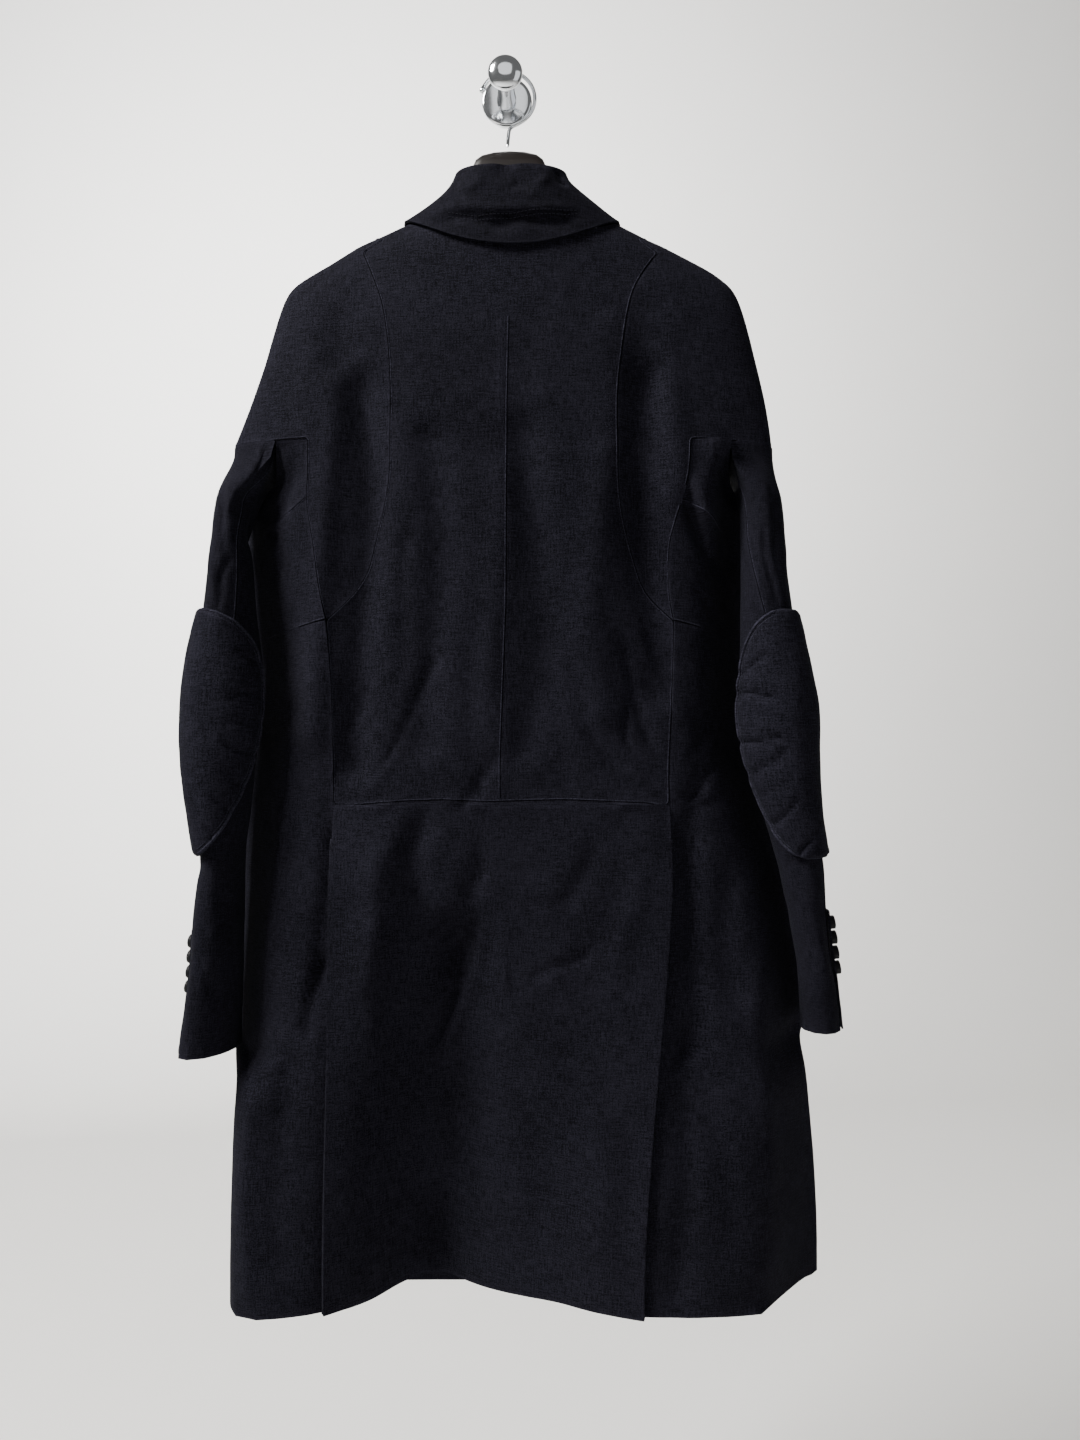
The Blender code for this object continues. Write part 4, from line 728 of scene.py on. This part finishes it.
def rim_lines(piece):
    """Ordered lines of points along the outer cut edge of a finished panel."""
    outer = values_of(piece, "outer")
    links = {}
    for edge in piece.data.edges:
        a, b = edge.vertices
        # "outer" is high at both ends of an edge on the outer rim, and differs across the wall
        if edge.use_seam and min(outer[a], outer[b]) > 0.6 and abs(outer[a] - outer[b]) < 0.09:
            links.setdefault(a, []).append(b)
            links.setdefault(b, []).append(a)
    points, lines, seen = points_of(piece), [], set()
    for start in sorted(links, key=lambda i: (len(links[i]) == 2, i)):
        if start in seen:
            continue
        line, here = [start], start
        seen.add(start)
        while True:
            ahead = [i for i in links[here] if i not in seen]
            if not ahead:
                break
            here = ahead[0]
            seen.add(here)
            line.append(here)
        if len(line) > 3:
            closed = line[0] in links[line[-1]] and len(line) > 8
            lines.append((points[line], closed))
    return lines


def tree_of(points):
    """The points sorted for finding the nearest one."""
    tree = KDTree(len(points))
    for number, point in enumerate(points):
        tree.insert(point, number)
    tree.balance()
    return tree


def add_grain(piece, kind, index):
    """Where each point lies on the uncut cloth, and how worn it is."""
    points = points_of(piece)
    if kind.startswith("sleeve"):
        across = turn_round(kind.split("_")[1], points) * SLEEVE_RADIUS
    elif kind in ("front", "back", "collar"):
        across = points[:, 0]
    else:
        across = points[:, 0] + np.sign(points[:, 0] - 0.004) * np.maximum(points[:, 1] + 0.080, 0.0)
    shift = 0.37 * index
    place = np.stack((across + shift, points[:, 2] + shift * 0.6, np.zeros(len(points))), axis=1)
    add_values(piece, "grain", "FLOAT_VECTOR", place)
    edges = [point for line, _ in rim_lines(piece) for point in line]
    wear = np.zeros(len(points))
    if edges:
        tree = tree_of(edges)
        away = np.array([tree.find(point)[2] for point in points])
        wear = np.exp(-((away / WEAR_REACH) ** 2))
    add_values(piece, "wear", "FLOAT", wear)


def settle(piece, nodes=()):
    """Hands a finished piece to the body and hides the frame parts that it stands for."""
    if nodes:
        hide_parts(*nodes)
    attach(piece, "root")


def keep_size(piece):
    """Moves the corners out, so that the smoothed cloth still runs through the frame's own points."""
    wanted = points_of(piece)
    for _ in range(2):
        bpy.context.view_layer.update()
        smoothed = piece.evaluated_get(bpy.context.evaluated_depsgraph_get()).data
        flat = np.empty(len(smoothed.vertices) * 3)
        smoothed.vertices.foreach_get("co", flat)
        reached = flat.reshape(-1, 3)[: len(wanted)]
        set_points(piece, points_of(piece) + (wanted - reached) * 0.85)


def cloth_panel(node, facts, index, finish="woven_cloth"):
    """One panel of the coat: subdivided, folded and woven."""
    sizes = bpy.context.scene.cloth_sizes
    kind, level, width, length, area = facts
    piece = welded_copy(node, node + "_cloth")
    hold_edges(piece, kind)
    smoother = subdivide(piece, 2)
    keep_size(piece)
    smoother.levels = smoother.render_levels = level
    apply(piece, smoother)
    points = points_of(piece)
    if kind == "round":
        deep = smooth_share((points[:, 1] - FLANK_BACK) / FLANK_BACK_FADE)
        deep *= smooth_share((FLANK_FRONT - points[:, 1]) / FLANK_FRONT_FADE)
        level = np.exp(-(((points[:, 2] - FLANK_HEIGHT) / FLANK_REACH) ** 2))
        points[:, 0] += np.sign(points[:, 0]) * deep * FLANK_PUSH * level
    out, full = outward(kind, points)
    patch = node.startswith("elbow")
    depth = sizes.pucker if patch else sizes.fold
    height = folds_at(kind, points, patch) * depth + waviness(points) * sizes.waviness
    set_points(piece, points + out * (height * full)[:, None])
    add_grain(piece, kind, index)
    choose(piece)
    bpy.ops.object.shade_smooth_by_angle(angle=math.radians(50))
    dress(piece, finish)
    settle(piece, (node,))
    return piece


def patch_outline(piece, side):
    """The closed outline of an elbow patch on its outer face, down one side and up the other."""
    points = points_of(piece)[values_of(piece, "outer") > 0.9]
    turn = turn_round(side, points)
    down, up = [], []
    for height in np.linspace(points[:, 2].max() - 0.0008, points[:, 2].min() + 0.0008, 64):
        near = np.flatnonzero(np.abs(points[:, 2] - height) < 0.0022)
        down.append(points[near[turn[near].argmin()]])
        up.append(points[near[turn[near].argmax()]])
    return np.array(down + up[::-1])


def cast_on(surface, places):
    """The places (sideways, height) set on the near side of a surface: points and normals."""
    points, normals = [], []
    for x, z in places:
        found, normal, _, _ = surface.ray_cast(Vector((x, -0.4, z)), Vector((0, 1, 0)))
        if found is not None:
            points.append(np.array(found))
            normals.append(np.array(normal))
    return np.array(points), np.array(normals)


def lengths_along(line):
    return np.concatenate(([0.0], np.cumsum(np.linalg.norm(np.diff(line, axis=0), axis=1))))


def at_lengths(stops, away, line):
    """The places on a line at one or more lengths along it."""
    return np.stack([np.interp(stops, away, line[:, axis]) for axis in range(3)], axis=-1)


def spaced(line, closed, step):
    """The line at even steps."""
    line = np.array(line)
    if closed:
        line = np.concatenate((line, line[:1]))
    away = lengths_along(line)
    count = max(int(away[-1] / step), 2)
    even = at_lengths(np.linspace(0.0, away[-1], count + 1), away, line)
    return even[:-1] if closed else even


def softened(line, closed, rounds):
    """The line with its small bends evened out."""
    for _ in range(rounds):
        before, after = np.roll(line, 1, axis=0), np.roll(line, -1, axis=0)
        mean = (before + 2 * line + after) / 4
        if not closed:
            mean[0], mean[-1] = line[0], line[-1]
        line = mean
    return line


def surface_of(piece):
    return BVHTree.FromObject(piece, bpy.context.evaluated_depsgraph_get())


def laid_on(surface, line, closed, inset, lift, kind):
    """The line moved inwards from the edge of a panel and set on its surface: points and normals."""
    ahead = np.roll(line, -1, axis=0) - np.roll(line, 1, axis=0)
    if not closed:
        ahead[0], ahead[-1] = line[1] - line[0], line[-1] - line[-2]
    out, _ = outward(kind, line)
    inward = unit(np.cross(out, unit(ahead)))
    tries = []
    for sign in (1, -1):
        moved = line + inward * sign * 0.004
        some = moved[:: max(len(moved) // 40, 1)]
        tries.append(sum(surface.find_nearest(Vector(point))[3] for point in some))
    sign = 1 if tries[0] < tries[1] else -1
    placed, normals = [], []
    for point, direction in zip(line + inward * sign * inset, out):
        found, normal, _, _ = surface.find_nearest(Vector(point) + Vector(direction) * 0.0015)
        if normal.dot(Vector(direction)) < 0.15:
            normal = Vector(direction)
        placed.append(np.array(found) + np.array(normal) * lift)
        normals.append(np.array(normal))
    return np.array(placed), np.array(normals)


def roll_along(name, lines, radius, finish):
    """A fine roll of cloth along seams, its two ends closed."""
    curve = bpy.data.curves.new(name, "CURVE")
    curve.dimensions, curve.fill_mode, curve.use_fill_caps = "3D", "FULL", True
    curve.bevel_depth, curve.bevel_resolution = radius, 1
    for line, closed in lines:
        spline = curve.splines.new("POLY")
        spline.points.add(len(line) - 1)
        spline.points.foreach_set("co", np.concatenate((line, np.ones((len(line), 1))), axis=1).reshape(-1))
        spline.use_cyclic_u = closed
    piece = bpy.data.objects.new(name, curve)
    bpy.context.scene.collection.objects.link(piece)
    choose(piece)
    bpy.ops.object.convert(target="MESH")
    piece = bpy.context.view_layer.objects.active
    bpy.ops.object.mode_set(mode="EDIT")
    bpy.ops.mesh.select_all(action="SELECT")
    bpy.ops.mesh.remove_doubles(threshold=0.00001)
    bpy.ops.mesh.normals_make_consistent(inside=False)
    bpy.ops.object.mode_set(mode="OBJECT")
    bpy.ops.object.shade_smooth_by_angle(angle=math.radians(60))
    points = points_of(piece)
    place = np.stack((points[:, 0] + points[:, 1], points[:, 2], points[:, 1] * 0), axis=1)
    add_values(piece, "grain", "FLOAT_VECTOR", place)
    add_values(piece, "wear", "FLOAT", np.full(len(points), 0.30))
    dress(piece, finish)
    settle(piece)
    return piece


def one_stitch(name):
    """A single stitch: a short round thread with rounded ends, lying along X."""
    sizes = bpy.context.scene.cloth_sizes
    bpy.ops.object.select_all(action="DESELECT")
    bpy.ops.mesh.primitive_cylinder_add(
        vertices=6, radius=sizes.thread / 2, depth=sizes.stitch * 0.7, rotation=(0, math.pi / 2, 0))
    piece = bpy.context.view_layer.objects.active
    piece.name = name
    bpy.ops.object.transform_apply(location=True, rotation=True, scale=True)
    bpy.ops.object.mode_set(mode="EDIT")
    for way in (1, -1):
        select_facing(piece, 0, way)
        move = {"value": (way * sizes.stitch * 0.15, 0, 0)}
        bpy.ops.mesh.extrude_region_move(TRANSFORM_OT_translate=move)
        bpy.ops.transform.resize(value=(1.0, 0.35, 0.35))
    bpy.ops.object.mode_set(mode="OBJECT")
    return piece


def sew_rows(name, rows):
    """Rows of stitches on the cloth; each row is (points, normals)."""
    sizes = bpy.context.scene.cloth_sizes
    stitch = one_stitch(name)
    shape = points_of(stitch)
    faces = [tuple(face.vertices) for face in stitch.data.polygons]
    corners, made = [], []
    step = sizes.stitch + sizes.stitch_gap
    for points, normals in rows:
        away = lengths_along(points)
        for stop in np.arange(step / 2, away[-1] - step / 2, step):
            middle = at_lengths(stop, away, points)
            ahead = unit(at_lengths(stop + step / 2, away, points) - middle)
            up = at_lengths(stop, away, normals)
            up = unit(up - ahead * (up @ ahead))
            start = len(corners) * len(shape)
            corners.append(middle + shape @ np.stack((ahead, np.cross(up, ahead), up)))
            made += [tuple(i + start for i in face) for face in faces]
    mesh = bpy.data.meshes.new(name)
    mesh.from_pydata(np.concatenate(corners).tolist(), [], made)
    stitch.data = mesh
    mesh.shade_smooth()
    dress(stitch, "thread")
    settle(stitch)
    return stitch


def near_other(piece, others, reach):
    """Runs of a panel's outer edge that lie within reach of other panels."""
    tree = tree_of(np.concatenate([points_of(other) for other in others]))
    runs = []
    for line, closed in rim_lines(piece):
        close = [tree.find(point)[2] < reach for point in line]
        if closed and all(close):
            runs.append((line, True))
            continue
        if closed:
            first = close.index(False)
            line, close = np.roll(line, -first, axis=0), close[first:] + close[:first]
        run = []
        for point, is_close in list(zip(line, close)) + [(None, False)]:
            if is_close:
                run.append(point)
                continue
            if len(run) > 4:
                runs.append((np.array(run), False))
            run = []
    return runs


def cloth_of(node):
    return bpy.data.objects[node + "_cloth"]


class SewPanels(bpy.types.Operator):
    """Makes the panels of the body: back, skirt, saddles, sides, underarms, gussets and fronts"""

    bl_idname = "overcoat.sew_panels"
    bl_label = "Body panels"

    def execute(self, context):
        for index, (node, facts) in enumerate(PANELS.items()):
            cloth_panel(node, facts, index)
        return {"FINISHED"}


class SewSleeves(bpy.types.Operator):
    """Makes the sleeves, their under halves and the cuff vents"""

    bl_idname = "overcoat.sew_sleeves"
    bl_label = "Sleeves"

    def execute(self, context):
        for index, (node, facts) in enumerate(SLEEVES.items()):
            # The sleeves' weave is darkened as painted shade.
            cloth_panel(node, facts, index + 20, "sleeve_weave_painted_shade")
        return {"FINISHED"}


class SewCollar(bpy.types.Operator):
    """Makes the collar with its soft folds"""

    bl_idname = "overcoat.sew_collar"
    bl_label = "Collar"

    def execute(self, context):
        for node, facts in COLLAR.items():
            # The collar's weave is darkened as painted shade.
            cloth_panel(node, facts, 30, "collar_weave_painted_shade")
        return {"FINISHED"}


class SewPatches(bpy.types.Operator):
    """Makes the padded elbow patches with their rims and stitching"""

    bl_idname = "overcoat.sew_patches"
    bl_label = "Elbow patches"

    def execute(self, context):
        sizes = context.scene.cloth_sizes
        for index, (node, facts) in enumerate(PATCHES.items()):
            kind = facts[0]
            piece = cloth_panel(node, facts, index + 40, "patch_weave")
            surface = surface_of(piece)
            line = softened(spaced(patch_outline(piece, kind.split("_")[1]), True, 0.0015), True, 4)
            # The rim and the ridge are painted paler as a highlight; the line between them is painted dark
            # as a shadow.
            for name, inset, lift, radius, finish in (
                    ("rim", 0.0014, 0.0006, sizes.rim / 2, "painted_highlight_cloth"),
                    ("shadow_line", STITCH_INSET, -0.0005, sizes.ridge * 0.6, "painted_shadow_cloth"),
                    ("ridge", 0.0050, -0.0001, sizes.ridge / 2, "painted_highlight_cloth")):
                edge, _ = laid_on(surface, line, True, inset, lift, kind)
                laid = [(softened(edge, True, 3), True)]
                roll_along(f"{node}_{name}", laid, radius, finish)
            points, normals = laid_on(surface, line, True, STITCH_INSET, 0.0002, kind)
            sew_rows(node + "_stitches", [(softened(points, True, 2), normals)])
        return {"FINISHED"}


# Sewn seams: a panel, and those that its raised edge runs beside
SEAMS = {
    "back": ("saddle_left", "saddle_right", "side_left", "side_right"),
    "saddle_left": ("underarm_left", "side_left", "gusset_left"),
    "saddle_right": ("underarm_right", "side_right", "gusset_right"),
    "underarm_left": ("gusset_left", "side_left"),
    "underarm_right": ("gusset_right", "side_right"),
    "sleeve_left": ("undersleeve_left",),
    "sleeve_right": ("undersleeve_right",),
}
# Seams drawn on a panel: sideways place and height, from end to end
CENTRE_SEAM = (
    (0.0038, -0.2486), (0.0020, -0.3316), (0.0014, -0.4200), (0.0011, -0.5076), (-0.0020, -0.5900),
    (-0.0044, -0.6535), (-0.0044, -0.6880),
)
COLLAR_SEAM = (
    (-0.0520, -0.1500), (-0.0380, -0.1530), (-0.0244, -0.1556), (0.0066, -0.1550),
    (0.0284, -0.1520), (0.0576, -0.1500), (0.0680, -0.1480),
)
WAIST_SEAM = (
    (-0.1520, -0.6960), (-0.1310, -0.6935), (-0.0950, -0.6905), (-0.0540, -0.6890),
    (-0.0180, -0.6910), (0.0110, -0.6900), (0.0560, -0.6890), (0.1020, -0.6910), (0.1300, -0.6920),
    (0.1500, -0.6960),
)


class RaiseSeams(bpy.types.Operator):
    """Lays a fine raised edge along the seams, painted paler as a highlight, with a dark line of painted
    shadow beside it, and stitches the collar
    """

    bl_idname = "overcoat.raise_seams"
    bl_label = "Seams and stitching"

    def execute(self, context):
        sizes = context.scene.cloth_sizes
        for node, others in SEAMS.items():
            piece = cloth_of(node)
            kind = {**PANELS, **SLEEVES}[node][0]
            surface = surface_of(piece)
            runs = near_other(piece, [cloth_of(other) for other in others], SEAM_REACH)
            runs = [(softened(spaced(line, closed, 0.0025), closed, 2), closed) for line, closed in runs]
            # The edge rolls are painted paler as a highlight; the rolls beside them are painted dark as a
            # shadow.
            for name, inset, drop, finish in (
                    ("edge", 1.1, 0.05, "painted_highlight_cloth"), ("shadow_line", 0.1, 0.20, "painted_shadow_cloth")):
                inset, lift, laid = sizes.ridge * inset, -sizes.ridge * drop, []
                for line, closed in runs:
                    points, _ = laid_on(surface, line, closed, inset, lift, kind)
                    laid.append((points, closed))
                if laid:
                    roll_along(f"{node}_seam_{name}", laid, sizes.ridge / 2, finish)
        self.raise_drawn(CENTRE_SEAM, "back", "centre_seam")
        self.raise_drawn(WAIST_SEAM, "back", "waist_seam")
        surface = surface_of(cloth_of("collar"))
        line = spaced([(x, z, 0.0) for x, z in COLLAR_SEAM], False, 0.002)
        rows = [[(x, z - drop) for x, z, _ in line] for drop in (0.0, ROW_DROP)]
        sew_rows("collar_stitches", [cast_on(surface, row) for row in rows])
        return {"FINISHED"}

    def raise_drawn(self, seam, node, name):
        """A fine ridge along a drawn seam, painted paler as a highlight, with a dark line of painted shadow
        beside it.
        """
        sizes = bpy.context.scene.cloth_sizes
        surface = surface_of(cloth_of(node))
        line = softened(spaced([(x, 0.0, z) for x, z in seam], False, 0.004), False, 3)
        along = np.abs(np.diff(line, axis=0)).sum(axis=0)
        for kind, aside, lift, finish in (
                ("edge", 0.0, 0.0, "painted_highlight_cloth"), ("shadow_line", 0.0010, -0.0003, "painted_shadow_cloth")):
            across = (aside, 0.0) if along[2] > along[0] else (0.0, -aside)
            points, normals = cast_on(surface, [(x + across[0], z + across[1]) for x, _, z in line])
            laid = [(points + normals * lift, False)]
            roll_along(f"{name}_{kind}", laid, sizes.ridge / 2, finish)


class TurnButtons(bpy.types.Operator):
    """Turns the cuff and front buttons and sets them in place"""

    bl_idname = "overcoat.turn_buttons"
    bl_label = "Buttons"

    def execute(self, context):
        for node in sorted(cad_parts):
            if "button" in node:
                self.make(node)
        return {"FINISHED"}

    def make(self, node):
        piece = welded_copy(node, node + "_turned")
        points = points_of(piece)
        middle = points.mean(axis=0)
        _, _, axes = np.linalg.svd(points - middle)
        axis = axes[2]
        front = node.startswith("front")
        toward = np.array((0.0, 1.0, 0.0)) if front else self.away_from_sleeve(node, middle)
        axis = axis if axis @ toward > 0 else -axis
        along = (points - middle) @ axis
        radius = float(np.linalg.norm(points - middle - along[:, None] * axis, axis=1).max())
        low, high = float(along.min()), float(along.max())
        bpy.data.objects.remove(piece, do_unlink=True)
        bpy.ops.object.select_all(action="DESELECT")
        depth = (high - low) * 0.85 + 0.0018
        bpy.ops.mesh.primitive_cylinder_add(vertices=28, radius=radius * 0.97, depth=depth)
        piece = bpy.context.view_layer.objects.active
        piece.name = node + "_turned"
        bpy.ops.object.mode_set(mode="EDIT")
        select_facing(piece, 2)
        bpy.ops.mesh.inset(thickness=radius * 0.22)
        bpy.ops.mesh.inset(thickness=radius * 0.12, depth=-(high - low) * 0.16)
        bpy.ops.mesh.inset(thickness=radius * 0.30)
        bpy.ops.object.mode_set(mode="OBJECT")
        round_edges(piece, radius * 0.09, 3, 35)
        lift = Matrix.Translation(Vector(middle + axis * (low * 0.575 + high * 0.425 - 0.0009)))
        piece.data.transform(lift @ Vector(axis).to_track_quat("Z", "Y").to_matrix().to_4x4())
        bpy.ops.object.shade_smooth_by_angle(angle=math.radians(40))
        dress(piece, "button")
        settle(piece, (node,))

    def away_from_sleeve(self, node, middle):
        side = "left" if "left" in node else "right"
        return np.array((middle[0] - float(sleeve_middle(side, middle[2])), middle[1] + SLEEVE_OFF, 0.0))


class ShapeHanger(bpy.types.Operator):
    """Shapes the brown wooden hanger"""

    bl_idname = "overcoat.shape_hanger"
    bl_label = "Hanger"

    def execute(self, context):
        piece = welded_copy("hanger_body", "hanger_wood")
        apply(piece, subdivide(piece, 1))
        bpy.ops.object.shade_smooth_by_angle(angle=math.radians(50))
        dress(piece, "lacquered_wood")
        settle(piece, ("hanger_body",))
        return {"FINISHED"}


class PolishHooks(bpy.types.Operator):
    """Rounds the wire hook, the wall hook and its plate in chrome"""

    bl_idname = "overcoat.polish_hooks"
    bl_label = "Hooks"

    def execute(self, context):
        for node in ("wire_hook", "wall_hook", "wall_plate"):
            piece = welded_copy(node, node + "_chrome")
            if node == "wall_plate":
                round_edges(piece, 0.0004, 2, 30)
            else:
                apply(piece, subdivide(piece, 2))
            bpy.ops.object.shade_smooth_by_angle(angle=math.radians(35))
            dress(piece, "polished_chrome")
            settle(piece, (node,))
        return {"FINISHED"}


# The photo's camera, level and square to the wall: lens and sensor in mm, place in metres
LENS, SENSOR = 24.95, 36.0
CAMERA_X, CAMERA_Z = 0.033, -0.617


class SetStage(bpy.types.Operator):
    """Puts up the floor, the soft lights and the camera"""

    bl_idname = "overcoat.set_stage"
    bl_label = "Stage"

    def execute(self, context):
        sizes = context.scene.stage_sizes
        bpy.ops.object.select_all(action="DESELECT")
        middle = (0, sizes.rise_y - sizes.floor_size / 2, sizes.floor_z)
        bpy.ops.mesh.primitive_plane_add(size=sizes.floor_size, location=middle)
        floor = bpy.context.view_layer.objects.active
        floor.name = "floor"
        bpy.ops.object.transform_apply(location=True, rotation=True, scale=True)
        bpy.ops.object.mode_set(mode="EDIT")
        bpy.ops.mesh.select_all(action="DESELECT")
        work = bmesh.from_edit_mesh(floor.data)
        for edge in work.edges:
            edge.select = all(corner.co.y > sizes.rise_y - 0.01 for corner in edge.verts)
        bmesh.update_edit_mesh(floor.data)
        middle = (0, sizes.rise_y, sizes.floor_z + sizes.rise)
        bpy.ops.mesh.spin(steps=24, angle=math.pi / 2, center=middle, axis=(-1, 0, 0))
        bpy.ops.mesh.extrude_edges_move(TRANSFORM_OT_translate={"value": (0, 0, 4.0)})
        bpy.ops.mesh.select_all(action="SELECT")
        bpy.ops.mesh.normals_make_consistent(inside=False)
        bpy.ops.object.mode_set(mode="OBJECT")
        floor.data.shade_smooth()
        dress(floor, "painted_floor")
        lights = (
            ("key_light", (-1.85, -1.0, 1.6), (0.0, 0.0, -0.45), 1.0, sizes.key, (1.0, 0.985, 0.96)),
            ("fill_light", (2.3, -1.5, 0.2), (0.0, 0.0, -0.5), 2.2, sizes.fill, (0.97, 0.98, 1.0)),
            ("rear_light", (-1.3, 0.6, 1.2), (-1.7, 3.9, 2.4), 2.6, sizes.rear, (1.0, 1.0, 1.0)),
            ("card_light", (0.0, -3.0, 1.9), (0.0, 0.0, 0.0), 1.3, sizes.card, (1.0, 1.0, 1.0)),
        )
        for name, place, target, size, power, colour in lights:
            light = bpy.data.lights.new(name, "AREA")
            light.size, light.energy, light.color = size, power, colour
            lamp = bpy.data.objects.new(name, light)
            lamp.location = place
            lamp.rotation_euler = (Vector(target) - Vector(place)).to_track_quat("-Z", "Y").to_euler()
            context.scene.collection.objects.link(lamp)
        world = bpy.data.worlds.new("surroundings")
        world.use_nodes = True
        back = world.node_tree.nodes["Background"]
        back.inputs["Color"].default_value = (1.0, 0.992, 0.972, 1.0)
        back.inputs["Strength"].default_value = sizes.sky
        context.scene.world = world
        camera = bpy.data.objects.new("camera", bpy.data.cameras.new("camera"))
        camera.data.lens, camera.data.sensor_width = LENS, SENSOR
        camera.location = (CAMERA_X, -sizes.camera_off, CAMERA_Z)
        camera.rotation_euler = (math.radians(90), 0, 0)
        context.scene.collection.objects.link(camera)
        context.scene.camera = camera
        return {"FINISHED"}


class OvercoatPanel(bpy.types.Panel):
    """Sizes, colours and the pieces of the coat"""

    bl_idname = "VIEW3D_PT_overcoat"
    bl_label = "Overcoat"
    bl_space_type = "VIEW_3D"
    bl_region_type = "UI"
    bl_category = "Overcoat"

    def draw(self, context):
        for place, group in GROUPS:
            for name in group.__annotations__:
                self.layout.prop(getattr(context.scene, place), name)
        for step in STEPS:
            self.layout.operator(step.bl_idname)


STEPS = (SewPanels, SewSleeves, SewCollar, SewPatches, RaiseSeams,
         TurnButtons, ShapeHanger, PolishHooks, SetStage)
GROUPS = (("cloth_sizes", ClothSizes), ("coat_colours", CoatColours), ("stage_sizes", StageSizes))


def register():
    for name, group in GROUPS:
        bpy.utils.register_class(group)
        setattr(bpy.types.Scene, name, bpy.props.PointerProperty(type=group))
    for step in (*STEPS, OvercoatPanel):
        bpy.utils.register_class(step)


def unregister():
    for step in (*STEPS, OvercoatPanel):
        bpy.utils.unregister_class(step)
    for name, group in GROUPS:
        delattr(bpy.types.Scene, name)
        bpy.utils.unregister_class(group)


def main():
    register()
    for step in STEPS:
        getattr(bpy.ops.overcoat, step.bl_idname.split(".")[1])()


if __name__ == "__main__":
    main()
